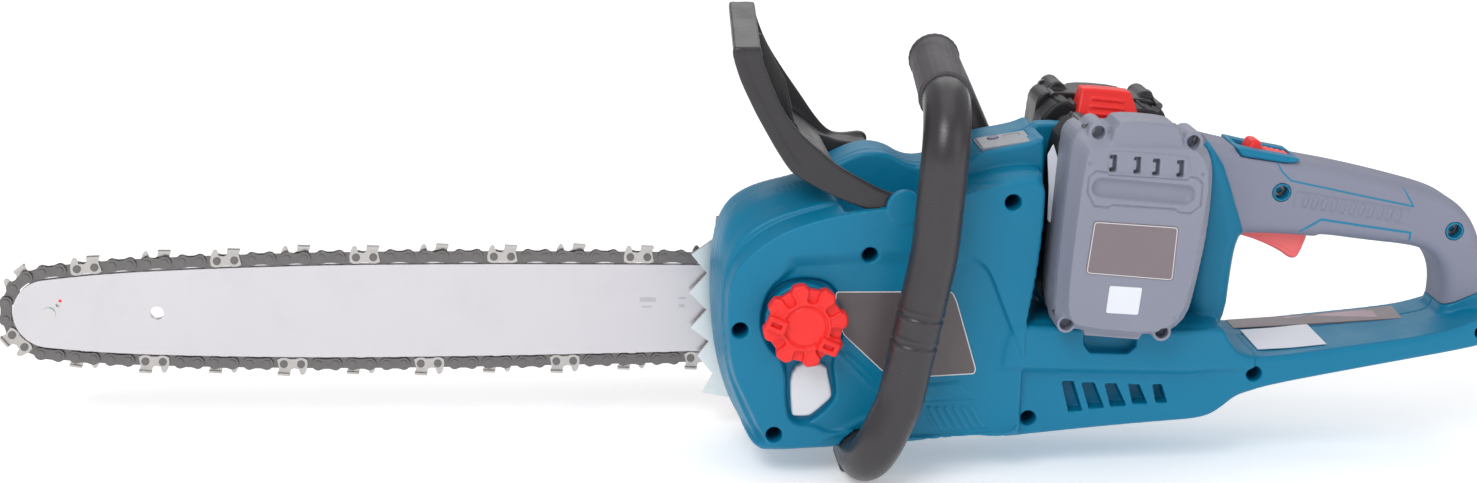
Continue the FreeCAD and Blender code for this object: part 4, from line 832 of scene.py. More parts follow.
piece("tank_cap", oil_cap, *around(CAP, 25, -67.5, -42), 0.42, "red", "cap", "oil_cap",
      "red_plastic")
piece("tank_window", tank_window, (-118, -51, 17), (-80, -29, 93), 0.55, "milky", "saw_frame",
      "oil_tank", "clear_milky")

# ---------------------------------------------------------------- hand guard
GUARD_LEFT = cut_corners([
    (-138.2, 219.4), (-137.6, 214), (-134.1, 202.9), (-125.9, 185.9), (-116.2, 168.7),
    (-110.5, 159.0), (-105.5, 153.0), (-97.8, 148.0), (-86, 141.6), (-61.2, 131.2),
    (-52, 128.0), (-44, 127.8), (-40.6, 132), (-41, 138.5), (-46, 141.4), (-56.2, 142.6),
    (-70.3, 150.2), (-84.3, 158.4), (-93, 166), (-103.7, 176.0), (-111.3, 185.8), (-119, 202.8),
    (-123.2, 213.5), (-124.0, 220.4)])
GUARD_RIGHT = cut_corners([
    (-134.0, 225.4), (-131.0, 211), (-124.0, 194), (-116, 178.5), (-108, 164), (-103.5, 155),
    (-90, 148), (-72, 145.6), (-58.5, 146.6), (-54.3, 150.6), (-55.6, 154.6), (-59.5, 155.9),
    (-70.2, 154.3), (-77, 156.2), (-84.0, 163.8), (-93.4, 177.6), (-103.8, 192.3),
    (-112.4, 205.9), (-117.8, 219), (-120.4, 229.0)])
GUARD_FRONT = [
    (-136.2, 218), (-135.5, 213), (-132.0, 203), (-124.0, 186.5), (-114.3, 169.5), (-105, 156)]
GUARD_WEB = [
    (-134, 219), (-128, 201), (-118, 184), (-108, 167), (-100.5, 168), (-102.5, 180),
    (-106, 193.5), (-112.3, 205), (-119.5, 219)]
GUARD_FOOT = [
    (-107, 160), (-99.8, 170.3), (-91.5, 164.6), (-84.3, 158.2), (-82.0, 154.2), (-88, 150.5),
    (-104, 154)]
GUARD_ARM = cut_corners([
    (PIVOT[0] + 7, PIVOT[1]), (-43, 144), (-55.5, 152.0), (-72, 154.0), (-82, 158), (-98, 160),
    (-106, 155), (-104, 150.5), (-88, 145.5), (-70, 142.5), (-56, 134),
    (PIVOT[0], PIVOT[1] - 7)], 1)
GUARD_BRIDGE = [
    (-106, 156), (-93, 163), (-78, 154.6), (-57, 153.2), (-56, 149), (-70, 147.6), (-88, 149)]


def hand_guard(x, y, z):
    # The front sheet and top rail shift forward and down towards -Y.
    lean = ease((z - 172) / 44)
    to_right = np.clip((y + 46.0) / 92.0, 0, 1)
    lean_x, lean_z = x - 5.0 * to_right * lean, z - 8.0 * to_right * lean
    solid = prism(x, y, z, GUARD_LEFT, -46.0, -41.0, 1.3)
    front = line_dist(lean_x, lean_z, GUARD_FRONT) - 1.9
    solid = join(solid, clip(front, band(y, 0.5, 46.0), 1.0), 2.2)
    rail = clip(band(lean_x, -131.3, 7.1), band(lean_z, 217.7, 2.9), 1.6)
    solid = join(solid, clip(rail, band(y, 0.5, 46.4), 1.6), 1.2)
    solid = join(solid, prism(x, y, z, GUARD_RIGHT, 42.4, 47.0, 1.3), 1.6)
    solid = join(solid, prism(x, y, z, GUARD_WEB, 0.2, 4.0, 1.0), 1.4)
    solid = join(solid, prism(x, y, z, GUARD_FOOT, -43, 44, 1.4), 2.0)
    solid = join(solid, prism(x, y, z, GUARD_ARM, 25.2, 29.8, 1.2), 1.0)
    solid = join(solid, prism(x, y, z, GUARD_BRIDGE, 25.5, 46.0, 1.2), 1.6)
    return cut(solid, radial(x, z, PIVOT) - 4.0)


piece("guard_shield", hand_guard, (-146, -48, 125), (-38, 48, 234), 0.70, "dark_plastic",
      "guard", "hand_guard")

# ---------------------------------------------------------------- sprocket cover and its dials
SHAFT_X = SHAFT[0]
COVER = cut_corners([
    (-132, 84), (-132, 14), (-118, 9), (SHAFT_X - 10, 8), (SHAFT_X + 18, 12),
    (SHAFT_X + 34, 28), (SHAFT_X + 40, 55), (SHAFT_X + 34, 82), (SHAFT_X + 18, 98),
    (SHAFT_X - 10, 102), (-118, 103.5), (-132, 106.5), (-141.5, 105.5), (-143.0, 98),
    (-141.5, 88)])
# Depth inside the outline, and y of the outer face there.
COVER_SHOULDER = ([0, .8, 2.5, 5.5, 8.5, 10, 11.5], [47, 51.5, 54.5, 57.0, 57.6, 56.6, 57.8])
COVER_PANEL = [
    (SHAFT_X + 2, 92), (SHAFT_X - 40, 95), (SHAFT_X - 22, 78), (SHAFT_X - 4, 66),
    (SHAFT_X - 3, 44), (SHAFT_X - 22, 32), (SHAFT_X - 40, 14.5), (SHAFT_X + 2, 17)]


def sprocket_cover(x, y, z):
    edge = flat(x, z, COVER)
    solid = clip(edge, (y - np.interp(-edge, *COVER_SHOULDER)) * 0.85, 1.6)
    solid = clip(solid, 32.6 - y, 0.5)
    solid = cut(solid, clip(edge + 3.2, y - 50, 1.0))
    # Opening at the front, where the bar leaves.
    solid = cut(solid, box(x, y, z, (-145, -127), (25, 49.5), (14.5, 95.5), 2), 1.0)
    # Collar and well for the tension wheel.
    collar = band(radial(x, z, KNOB), 32.3, 1.2)
    solid = join(solid, clip(collar, band(y, 57, 3.3), 0.8), 1.0)
    solid = cut(solid, disc(x, y, z, KNOB, 30.6, 57.2, 80, 0.2))
    solid = cut(solid, disc(x, y, z, KNOB, 8.0, 30, 80))
    for i in range(4):
        middle = SHAFT_X + 3.5 + 7 * i
        half = 17 - 2.2 * i
        slot = box(x, y, z, (middle - 1.7, middle + 1.7), (49, 70), (55 - half, 55 + half), 1.4)
        solid = cut(solid, slot, 0.5)
    line = band(flat(x, z, COVER_PANEL), 0, 0.6)
    return join(solid, clip(line, band(y, 57.6, 0.8)), 0.7)


def tension_wheel(x, y, z):
    reach = radial(x, z, KNOB)
    teeth = 0.55 * np.cos(30 * angle_about(x, z, KNOB))
    solid = clip(reach - 29.2 - teeth, band(y, 61.0, 2.9), 1.0)
    solid = cut(solid, reach - 8.2)
    return cut(solid, clip(band(reach, 25.6, 0.5), 62.9 - y), 0.4)


def clamp_knob(x, y, z):
    """Toothed knob, dished on its face, with a waisted finger bar."""
    reach = radial(x, z, KNOB)
    teeth = 0.5 * np.cos(24 * angle_about(x, z, KNOB))
    solid = clip(reach - 20.3 - teeth, band(y, 68.2, 3.7), 1.4)
    solid = join(solid, clip(reach - 7.4, band(y, 62, 3.6), 0.4), 0.5)
    solid = cut(solid, clip(reach - 17.0, 70.9 - y), 1.0)
    along, across = turned(x, z, math.radians(35), KNOB)
    along = np.abs(along)
    bar = np.hypot(np.maximum(along - 12.5, 0), across) - 4.0 - 1.2 * (along / 16) ** 2
    return join(solid, clip(bar, band(y, 74.5, 5.3), 1.6), 1.6)


piece("side_cover", sprocket_cover, (-137, 32, 6), (0, 61, 104), 0.75, "dark_plastic", "cover",
      "sprocket_cover")
piece("tension_wheel", tension_wheel, *around(KNOB, 31, 57.5, 64.5), 0.5, "grip_grey", "dial",
      "tension_dial")
piece("clamp_knob", clamp_knob, *around(KNOB, 22, 58, 80.5), 0.5, "red", "knob", "lock_knob",
      "red_plastic")

# ---------------------------------------------------------------- lock-off slider, status panel
LOCKOFF_AT = (161.0, 0, 151.4)


def lockoff(x, y, z):
    """In its own frame: x along the handle, z up."""
    solid = box(x, y, z, (-12.4, 12.4), (-6.5, 6.5), (-5, 4.2), 1.6)
    solid = join(solid, box(x, y, z, (-12.4, -5.8), (-6.5, 6.5), (0, 7.9), 2.4), 3.0)
    for i in range(4):
        solid = cut(solid, radial(x, z, (-1.0 + 3.4 * i, 5.1)) - 1.5, 0.5)
    return solid


def status_panel(x, y, z):
    solid = box(x, y, z, (-3.0, 25.5), (-27.5, -2.1), (160.9, 164.6), 0.8)
    solid = cut(solid, box(x, y, z, (13, 21), (-11.5, -5.5), (164.1, 170), 0.4), 0.2)
    return cut(solid, np.hypot(x - 6.5, y + 8.5) - 3.05)


piece("lock_slider", lockoff, (-14, -7, -6), (14, 7, 9), 0.4, "red", "lockoff",
      "lockoff_button", "red_plastic", tilted(13.2, 0, 0, LOCKOFF_AT))
piece("status_panel", status_panel, (-4.2, -29, 160), (27, -1, 165.5), 0.4, "smoke",
      "saw_frame", "control_panel", "panel_smoke", tilted(-9.0, 12, 163))

# ---------------------------------------------------------------- battery packs, as the left one
PACK_EDGE = cut_corners([
    (37.8, 172.5), (40, 178), (45, 181.0), (96.1, 176.8), (106.5, 174.5), (113.2, 166),
    (115.2, 154.7), (114.6, 125.2), (109.7, 92.2), (106.5, 77.4), (98.5, 69), (88, 66.2),
    (46, 69.8), (38.0, 72.2), (33.6, 77.5), (33.8, 100), (36, 140)], 1)
PACK_FACE = cut_corners([
    (47.5, 171.9), (44.5, 165.5), (40.8, 120), (39.2, 88.6), (41.2, 78.5), (46, 74.6),
    (86.3, 70.3), (96.8, 75.7), (103.4, 88), (108, 125), (111, 156.7), (105.2, 168.7),
    (98, 171.2)], 1)
# Share of the way from edge to face, and y there.
PACK_SHOULDER = ([0, .06, .5, .9, 1.0], [-55.5, -58.5, -62.5, -66.6, -67.6])
# Screw corner bosses: x, z, radius, y of the end.
PACK_BOSSES = [
    (51.4, 178.8, 5.6, -62.5), (102.1, 173.6, 5.6, -62.5), (39.8, 74.6, 5.0, -63.0),
    (91.7, 69.8, 5.2, -63.5)]
PACK_HOOD = cut_corners([
    (56, 168), (59.5, 184.6), (70, 185.6), (90, 183.6), (94.5, 181), (98.5, 165)], 1)
PACK_CHIN = [(49, 74), (50.5, 67.6), (80, 64.8), (83, 70)]
SLOT_PANEL = cut_corners([
    (56.6, 169.2), (59, 170.6), (97.0, 167.6), (99.5, 165.6), (100.6, 158.4), (98, 155.6),
    (57.6, 158.6), (55.6, 161)], 1)
HOOK_SLOTS = [(59.8, 163.2), (72.6, 162.2), (82.8, 161.2), (95.6, 160.2)]
CHANNEL_FIELD = [
    (46.6, 156), (50.2, 159.4), (56, 158.6), (57.4, 157.2), (99, 154.4), (100.6, 156.0),
    (104.8, 155), (107.4, 151.9), (106.9, 140), (101.8, 136.2), (95, 137), (93.4, 138.6),
    (60, 141), (58, 139.8), (50.2, 140.5), (46.1, 147.9)]
DIMPLES = [(46.6, 163.4), (107.0, 157.2), (38.4, 84.2), (97.0, 78.6)]
RAIL_HALF = cut_corners([
    (41, 174), (46, 178.6), (52, 179.6), (56, 176), (88, 173), (92, 175.6), (103, 173.4),
    (110, 167), (111.6, 155), (106, 92), (103.5, 80), (97, 72.6), (88, 70), (46, 73.6),
    (36.4, 76), (32.4, 80.5), (32.4, 100), (34.4, 150), (36.5, 168)], 1)
LATCH = cut_corners([
    (54.6, 160.0), (55.0, 168.5), (58.6, 185.5), (60.0, 187.0), (85.6, 184.9), (87.2, 183.2),
    (91.6, 167.5), (92.4, 157.0)], 1)
PACK_SLANT = math.radians(5.5)


def pack_case(x, y, z, hood_drop):
    edge = flat(x, z, PACK_EDGE)
    face = np.interp(share_between(edge, flat(x, z, PACK_FACE)), *PACK_SHOULDER)
    solid = clip(edge, (face - y) * 0.85, 0.8)
    solid = clip(solid, y + 32.1, 0.7)
    for *centre, radius, end in PACK_BOSSES:
        solid = join(solid, disc(x, y, z, centre, radius, end, -40, 1.2), 2.0)
    solid = join(solid, prism(x, y, z + hood_drop, PACK_HOOD, -65.8, -40, 2.2), 2.0)
    solid = join(solid, prism(x, y, z, PACK_CHIN, -61.0, -40, 1.0), 1.0)
    for centre in PACK_BOSSES:
        solid = cut(solid, disc(x, y, z, centre, 3.5, -80, -56.0))
    # Sunk panel with four hooked slots.
    solid = solid + np.where(y < -60, 0.7 * patch(x, z, SLOT_PANEL, 0.5, 1.0), 0)
    for left, low in HOOK_SLOTS:
        stem = rectangle(x, z, (left - 1.1, left + 1.1), (low - 4.2, low + 4.4), 0.3)
        hook_x = (left - 2.6, left + 0.4)
        hooks = join(rectangle(x, z, hook_x, (low - 4.4, low - 2.4), 0.3),
                     rectangle(x, z, hook_x, (low + 2.6, low + 4.5), 0.3))
        solid = cut(solid, clip(join(stem, hooks), y + 62))
    # Channel with round ends inside a field outlined by a groove.
    outline = ease((0.75 - np.abs(flat(x, z, CHANNEL_FIELD))) / 0.6)
    solid = solid + np.where(y < -60, 0.8 * outline, 0)
    along, across = turned(x, z, PACK_SLANT, (76.0, 148.4))
    past_end = np.maximum(np.abs(along) - 22.5, 0)
    channel = np.sqrt(past_end ** 2 + across ** 2 + (y + 69.3) ** 2) - 5.6
    solid = cut(solid, channel, 1.0)
    for centre in DIMPLES:
        solid = cut(solid, clip(radial(x, z, centre) - 1.1, y + 66.9), 0.3)
    return solid


def pack_rail_half(x, y, z):
    """Inner half of the case, with ribs round its neck."""
    edge = flat(x, z, RAIL_HALF)
    solid = slab(edge, y, -32.0, -12.4, 1.6)
    solid = join(solid, slab(edge + 8.5, y, -30, -6.6, 1.5), 1.5)
    for i in range(7):
        left = 46.0 + 9.6 * i
        top = 181.0 - 0.096 * (left - 46)
        rib = box(x, y, z, (left, left + 1.6), (-31, -14), (165, top), 0.5)
        solid = join(solid, clip(rib, edge - 1.1))
    return solid


def pack_latch(x, y, z, drop):
    """A wedge facing the other pack, ribbed across."""
    z = z + drop
    face = -7.4 - 5.0 * ease((z - 172) / 16)
    solid = clip(clip(flat(x, z, LATCH), y - face, 1.6), -23 - y, 1.5)
    along, above = turned(x, z, PACK_SLANT, (73, 176))
    for i in range(3):
        rib = clip(np.abs(along) - 10.5 + 0.8 * i, band(above, -3.4 + 4.0 * i, 0.75))
        solid = join(solid, clip(rib, solid - 0.8), 0.5)
    return solid


# Side, sign of y, hood drop, latch drop, finish of the case, its slot.
for side, sign, hood_drop, latch_drop, finish, case_slot in (
        ("left", -1, 0.0, 11.5, "battery_grey", "battery_grey"),
        ("right", 1, 6.0, 0.0, "pack_dark", "dark_plastic")):
    # Part, shape, x range, y range from the middle out, z range, cell, finish, body, CAD, slot.
    for part, shape, (x0, x1), depths, (z0, z1), cell, look, body, replaced, slot in (
            ("case", lambda x, y, z: pack_case(x, y, z, hood_drop), (28, 118), (31, 69),
             (60, 188), 0.62, finish, "battery_", "outer_shell", case_slot),
            ("rail_half", pack_rail_half, (32, 114), (6, 33),
             (66, 184), 0.75, "black", "battery_", "inner_shell", "dark_plastic"),
            ("latch", lambda x, y, z: pack_latch(x, y, z, latch_drop), (52, 96), (5, 25),
             (146, 190), 0.5, "red", "latch_", "release_button", "red_plastic")):
        y0, y1 = sorted(sign * depth for depth in depths)
        piece(f"pack_{side}_{part}", shape if sign < 0 else mirror(shape), (x0, y0, z0),
              (x1, y1, z1), cell, look, body + side, f"battery_{side}_{replaced}", slot)


# ---------------------------------------------------------------- front handle
def write_mesh(shape, mesh):
    """Turns the normals outward and writes a bmesh into a mesh."""
    bmesh.ops.recalc_face_normals(shape, faces=shape.faces)
    shape.to_mesh(mesh)
    shape.free()
    return mesh


def arc_lengths(path):
    """Distance along the path at each of its points."""
    steps = ((end - start).length for start, end in zip(path, path[1:]))
    return list(accumulate(steps, initial=0.0))


def bent_path(corners, radii, step):
    """Points along a line whose inner corners are rounded to the given radii."""
    points = [Vector(corners[0])]

    def run_to(end):
        start = points[-1]
        count = max(int((end - start).length / step), 1)
        points.extend([start + (end - start) * i / count for i in range(1, count + 1)])

    for before, corner, after, radius in zip(corners, corners[1:], corners[2:], radii):
        before, corner, after = Vector(before), Vector(corner), Vector(after)
        back, ahead = (before - corner).normalized(), (after - corner).normalized()
        half = back.angle(ahead) / 2
        trim = radius / math.tan(half)
        arc_start, arc_end = corner + back * trim, corner + ahead * trim
        centre = corner + (back + ahead).normalized() * (radius / math.sin(half))
        run_to(arc_start)
        first = (arc_start - centre).normalized()
        second = (arc_end - centre) - first * (arc_end - centre).dot(first)
        second.normalize()
        sweep = (arc_start - centre).angle(arc_end - centre)
        count = max(int(sweep * radius / step), 4)
        for i in range(1, count + 1):
            turn = sweep * i / count
            points.append(centre + (first * math.cos(turn) + second * math.sin(turn)) * radius)
        points[-1] = points[-1]
        run_from = arc_end
        exact_ends[len(points) - 1] = run_from
    return points


def rounded_run(corners, radii, step):
    """Points along a line whose inner corners are rounded to the given radii."""
    points = [Vector(corners[0])]
    last = Vector(corners[0])

    def run(start, end):
        count = max(int((end - start).length / step), 1)
        for i in range(1, count + 1):
            points.append(start + (end - start) * i / count)

    for before, corner, after, radius in zip(corners, corners[1:], corners[2:], radii):
        before, corner, after = Vector(before), Vector(corner), Vector(after)
        back, ahead = (before - corner).normalized(), (after - corner).normalized()
        half = back.angle(ahead) / 2
        trim = radius / math.tan(half)
        arc_start, arc_end = corner + back * trim, corner + ahead * trim
        centre = corner + (back + ahead).normalized() * (radius / math.sin(half))
        run(last, arc_start)
        first = (arc_start - centre).normalized()
        second = (arc_end - centre) - first * (arc_end - centre).dot(first)
        second.normalize()
        sweep = (arc_start - centre).angle(arc_end - centre)
        count = max(int(sweep * radius / step), 4)
        for i in range(1, count + 1):
            turn = sweep * i / count
            points.append(centre + (first * math.cos(turn) + second * math.sin(turn)) * radius)
        last = arc_end
    run(last, Vector(corners[-1]))
    return points


del bent_path


def add_tube(name, path, radius, segments, finish, replaced, flute=0.0, flutes=0):
    """A capped tube along a path; radius takes the distance along it and its length."""
    last = len(path) - 1
    tangents = [(path[min(i + 1, last)] - path[max(i - 1, 0)]).normalized()
                for i in range(len(path))]
    along = arc_lengths(path)
    normal = Vector((1, 0, 0))
    points, faces = [], []
    for i, (point, tangent) in enumerate(zip(path, tangents)):
        normal = (normal - tangent * normal.dot(tangent)).normalized()
        side = tangent.cross(normal)
        for k in range(segments):
            angle = 2 * math.pi * k / segments
            reach = radius(along[i], along[-1]) + flute * math.cos(flutes * angle)
            offset = (normal * math.cos(angle) + side * math.sin(angle)) * reach
            points.append(tuple((point + offset) * MM))
    for i in range(last):
        here, there = i * segments, (i + 1) * segments
        for k in range(segments):
            after = (k + 1) % segments
            faces.append((here + k, here + after, there + after, there + k))
    faces.append(tuple(reversed(range(segments))))
    faces.append(tuple(last * segments + k for k in range(segments)))
    mesh = bpy.data.meshes.new(name)
    mesh.from_pydata(points, [], faces)
    mesh.update()
    shape = bmesh.new()
    shape.from_mesh(mesh)
    part = add_object(name, write_mesh(shape, mesh), finish, "saw_frame")
    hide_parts(replaced)


# From under the body, up the left side, across the top and down to the right side.
BAIL_CORNERS = [
    (-66.0, -10, -2), (-66.0, -73, -2), (-49.5, -73, 36), (-34, -73, 118), (-29, -73, 191),
    (-18.5, 60, 203), (17, 46, 124)]
bail_path = rounded_run(BAIL_CORNERS, radii=[22, 50, 150, 30, 26], step=1.0)
left_run = [(along, point.z) for along, point in zip(arc_lengths(bail_path), bail_path)
            if point.y < -60 and point.z > 20]
# Two rings are let into the tube at these heights on the left run.
RING_PLACES = [min(left_run, key=lambda entry: abs(entry[1] - height))[0]
               for height in (84.5, 69.5)]


def bail_radius(along, total):
    radius = 12.5
    for place in RING_PLACES:
        off = abs(along - place)
        radius -= 0.75 * math.exp(-(off / 0.9) ** 2)
        radius += 0.42 * math.exp(-((off - 2.2) / 0.9) ** 2)
    return radius - 3.0 * max(0.0, (along - (total - 7)) / 7) ** 2


def sleeve_radius(along, total):
    """A raised lip at each end."""
    from_end = min(along, total - along)
    if from_end < 1.2:
        return 12.5 + 1.6 * math.sqrt(max(0.0, 1 - (1 - from_end / 1.2) ** 2))
    if from_end < 3.6:
        return 14.1
    if from_end < 4.6:
        return 14.1 - 0.7 * (from_end - 3.6)
    return 13.4


BOSS = (18, 126)


def bail_foot(x, y, z):
    """Foot under the body, blended with the distant boss, which lies outside its box."""
    solid = box(x, y, z, (-76.5, -55.5), (-43.5, -11.0), (-15.5, -5), 3.0)
    solid = join(solid, disc(x, y, z, BOSS, 12.0, 30.3, 47, 2.0), 3.0)
    for middle in (-20, -34):
        solid = cut(solid, clip(np.hypot(x + 66, y - middle) - 5.0, z + 9), 0.6)
    return solid


def bail_boss(x, y, z):
    solid = disc(x, y, z, BOSS, 12.0, 30.3, 49, 2.0)
    return cut(solid, clip(radial(x, z, BOSS) - 5.0, 36.0 - y), 0.5)


add_tube("front_bail", bail_path, bail_radius, 56, "grip_dark", "front_handle")
piece("bail_foot", bail_foot, (-78, -45, -16.5), (-54, -10, -4), 0.5, "grip_dark", "saw_frame")
piece("bail_boss", bail_boss, (4, 29, 112), (32, 50, 140), 0.5, "grip_dark", "saw_frame")

# Fluted sleeve over the top run.
top_left, top_right = Vector(BAIL_CORNERS[4]), Vector(BAIL_CORNERS[5])
top_way = (top_right - top_left).normalized()
sleeve_start = top_left + top_way * 29
sleeve_length = (top_right - top_way * 30 - sleeve_start).length
sleeve_path = [sleeve_start + top_way * (sleeve_length * i / 110) for i in range(111)]
add_tube("bail_sleeve", sleeve_path, sleeve_radius, 96, "sleeve", "front_handle_grip",
         flute=0.10, flutes=24)


# ---------------------------------------------------------------- flat labels and marks
def plate(name, outline, y, thick, finish, body, bevel=0.0, facing=-1):
    """Thin plate in the X-Z plane with its visible face at y."""
    shape = bmesh.new()
    face = shape.faces.new([shape.verts.new((x * MM, y * MM, z * MM)) for x, z in outline])
    extruded = bmesh.ops.extrude_face_region(shape, geom=[face])["geom"]
    back = [item for item in extruded if isinstance(item, bmesh.types.BMVert)]
    bmesh.ops.translate(shape, verts=back, vec=(0, -facing * thick * MM, 0))
    mesh = write_mesh(shape, bpy.data.meshes.new(name))
    part = add_object(name, mesh, finish, body, smooth=False)
    if bevel:
        modifier = part.modifiers.new("b", "BEVEL")
        modifier.width = bevel * MM
        modifier.segments = 2
        modifier.limit_method = "ANGLE"


def rounded(outline, radius):
    """Outline with each corner replaced by a short curve."""
    points = []
    for i in range(len(outline)):
        corner = Vector(outline[i])
        back = Vector(outline[i - 1]) - corner
        ahead = Vector(outline[(i + 1) % len(outline)]) - corner
        trim = min(radius, back.length * 0.45, ahead.length * 0.45)
        start, end = corner + back.normalized() * trim, corner + ahead.normalized() * trim
        for k in range(5):
            t = k / 4
            point = start * (1 - t) ** 2 + corner * 2 * t * (1 - t) + end * t ** 2
            points.append((point.x, point.y))
    return points


def ribbon(name, points, width, y_at, thick, finish, body, closed=True, facing=-1):
    """Flat band along a line in the X-Z plane; y_at gives the y of its visible face."""
    points = [Vector(point) for point in points]
    count = len(points)
    shape = bmesh.new()
    rows = []
    for i, point in enumerate(points):
        arriving = point - (points[i - 1] if closed or i else point)
        leaving = (points[(i + 1) % count] if closed or i < count - 1 else point) - point
        way_in = (arriving if arriving.length > 1e-6 else leaving).normalized()
        way_out = leaving.normalized() if leaving.length > 1e-6 else way_in
        mitre = Vector((-(way_in.y + way_out.y), way_in.x + way_out.x))
        mitre.normalize()
        squareness = max(mitre.dot(Vector((-way_in.y, way_in.x))), 0.5)
        offset = mitre * (width / 2 / squareness)
        one, other = point + offset, point - offset
        y = y_at(point.x, point.y)
        y_back = y - facing * thick
        rows.append([shape.verts.new((side.x * MM, level * MM, side.y * MM))
                     for side, level in ((one, y), (other, y), (other, y_back), (one, y_back))])
    for i in range(count if closed else count - 1):
        here, there = rows[i], rows[(i + 1) % count]
        for k in range(4):
            after = (k + 1) % 4
            shape.faces.new((here[k], here[after], there[after], there[k]))
    if not closed:
        shape.faces.new(rows[0])
        shape.faces.new(list(reversed(rows[-1])))
    mesh = write_mesh(shape, bpy.data.meshes.new(name))
    add_object(name, mesh, finish, body, smooth=False)


def level(y):
    return lambda x, z: y


# Dark rating plate with a thin pale border, blank.
RATING = rounded([
    (-81.9, 89.0), (-19.5, 88.6), (-16.8, 83.2), (-4.9, 45), (-5.6, 42.4), (-37.3, 40.9),
    (-55.1, 44.2), (-77.4, 65.6), (-81.7, 83.8)], 2.0)
plate("rating_plate", RATING, -47.5, 0.6, "label_dark", "saw_frame", bevel=0.15)
ribbon("rating_border", RATING, 0.55, level(-47.6), 0.3, "white_ink", "saw_frame")

PACK_PLATE = rounded([(50.2, 132.7), (95.8, 129.2), (94.6, 99.6), (47.4, 103.9)], 2.2)
PACK_BORDER = rounded([(50.9, 132.0), (95.1, 128.6), (93.9, 100.3), (48.1, 104.5)], 1.8)
PACK_STICKER = rounded([(60.8, 97.2), (78.3, 95.9), (76.9, 81), (59.6, 82.3)], 1.0)
for side, sign in (("left", -1), ("right", 1)):
    pack = "battery_" + side
    plate(f"pack_{side}_plate", PACK_PLATE, sign * 67.95, 0.7, "label_brown", pack,
          bevel=0.12, facing=sign)
    ribbon(f"pack_{side}_plate_border", PACK_BORDER, 0.4, level(sign * 68.03), 0.3,
           "white_ink", pack, facing=sign)
    plate(f"pack_{side}_sticker", PACK_STICKER, sign * 67.9, 0.5, "sticker", pack,
          bevel=0.1, facing=sign)


def grip_face(sign):
    """y of the pin lines, just proud of the grip's rounded side."""
    def y_at(x, z):
        place = (np.float32(value).reshape(1, 1, 1) for value in (x, z))
        depth = float(handle_section(*place).ravel()[0])
        round_in = max(min(depth + GRIP_EDGE, 7.3), 0.0)
        bulge = math.sqrt(GRIP_EDGE ** 2 - round_in * round_in)
        return sign * (17.72 + palm_swell(x) - GRIP_EDGE + bulge)
    return y_at


def divided(points):
    """Line with a point about every 2 mm."""
    dense = []
    for start, end in zip(points, points[1:]):
        count = max(int(math.dist(start, end) / 2), 1)
        dense += [(start[0] + (end[0] - start[0]) * i / count,
                   start[1] + (end[1] - start[1]) * i / count) for i in range(count)]
    return dense + [points[-1]]


# Pin lines on the grip: name, width, points.
PIN_LINES = [
    ("upper", 0.9, [(163.0, 150.6), (165.8, 146.0), (171.1, 141.2), (241.0, 126.4),
                    (238.6, 130.4), (234.6, 136.6)]),
    ("lower", 1.2, [(178, 112.4), (189.8, 119.3), (240.6, 111.4), (240.8, 106.6)])]
for side, sign in (("left", -1), ("right", 1)):
    for name, width, points in PIN_LINES:
        ribbon(f"pin_line_{name}_{side}", divided(points), width, grip_face(sign), 0.7,
               "housing", "saw_frame", closed=False, facing=sign)

EDGE_LABEL = rounded([
    (31.6, 160), (34.6, 166), (37.2, 158), (37.4, 138), (36.6, 121), (33.4, 124),
    (33.2, 142)], 1.0)
plate("pack_left_edge_label", EDGE_LABEL, -33.0, 0.6, "sticker", "battery_left", bevel=0.1)


def plate_top(x):
    """Height of the rear plate's upper face, just sunk into it."""
    return float(np.interp(x, [150, 165, 200, 240, 262], [47.7, 48.2, 52.6, 57.6, 61.6])) - 0.15


def top_label(name, outline, lift, thick, finish):
    """Label lying on the rear plate; its outline is (x, y)."""
    shape = bmesh.new()
    low, high = ([shape.verts.new((x * MM, y * MM, (plate_top(x) + lift + rise) * MM))
                  for x, y in outline] for rise in (0, thick))
    shape.faces.new(high)
    shape.faces.new(list(reversed(low)))
    for i in range(len(outline)):
        after = (i + 1) % len(outline)
        shape.faces.new((low[i], low[after], high[after], high[i]))
    mesh = write_mesh(shape, bpy.data.meshes.new(name))
    add_object(name, mesh, finish, "saw_frame", smooth=False)


top_label("warning_strip", [(154.0, 26.6), (154.0, 10.9), (200, 1.8), (245.0, -7.0),
                            (246.5, 15.5), (200, 20.6)], 0, 0.35, "label_brown")
top_label("warning_strip_line", [(157.0, 24.2), (157.0, 12.8), (200, 4.4), (243.0, -4.2),
                                 (244.2, 13.6), (200, 18.4)], 0.3, 0.12, "strip_pale")
top_label("serial_sticker", [(156.3, 6.0), (155.9, -29.1), (174.5, -31.0), (193.2, -32.6),
                             (193.8, 3.6), (175, 4.8)], 0.4, 0.35, "sticker")


def circle(x, z, radius, step):
    """Circle outline with a point every step degrees."""
    return [(x + radius * math.cos(math.radians(angle)), z + radius * math.sin(math.radians(angle)))
            for angle in range(0, 360, step)]


# Marks on the left face of the guide bar.
BAR_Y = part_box("guide_bar")[0].y / MM
ribbon("bar_ring_mark", circle(-508.0, 56.3, 2.2, 15), 0.7, level(BAR_Y - 0.06), 0.1,
       "mark_green", "guide_bar_set")
plate("bar_dot_mark", circle(-502.2, 62.6, 0.9, 20), BAR_Y - 0.06, 0.1, "red", "guide_bar_set")
# Left x, low z, width, height.
ETCHINGS = [(-182, 59.0, 9, 2.6), (-181, 55.6, 6, 1.2), (-160, 60.5, 4, 1.2), (-160, 55.5, 3.4, 2.0)]
for i, (left, low, width, height) in enumerate(ETCHINGS):
    corners = [(left, low), (left + width, low), (left + width, low + height),
               (left, low + height)]
    plate(f"bar_etch_{i}", corners, BAR_Y - 0.05, 0.08, "etch", "guide_bar_set")

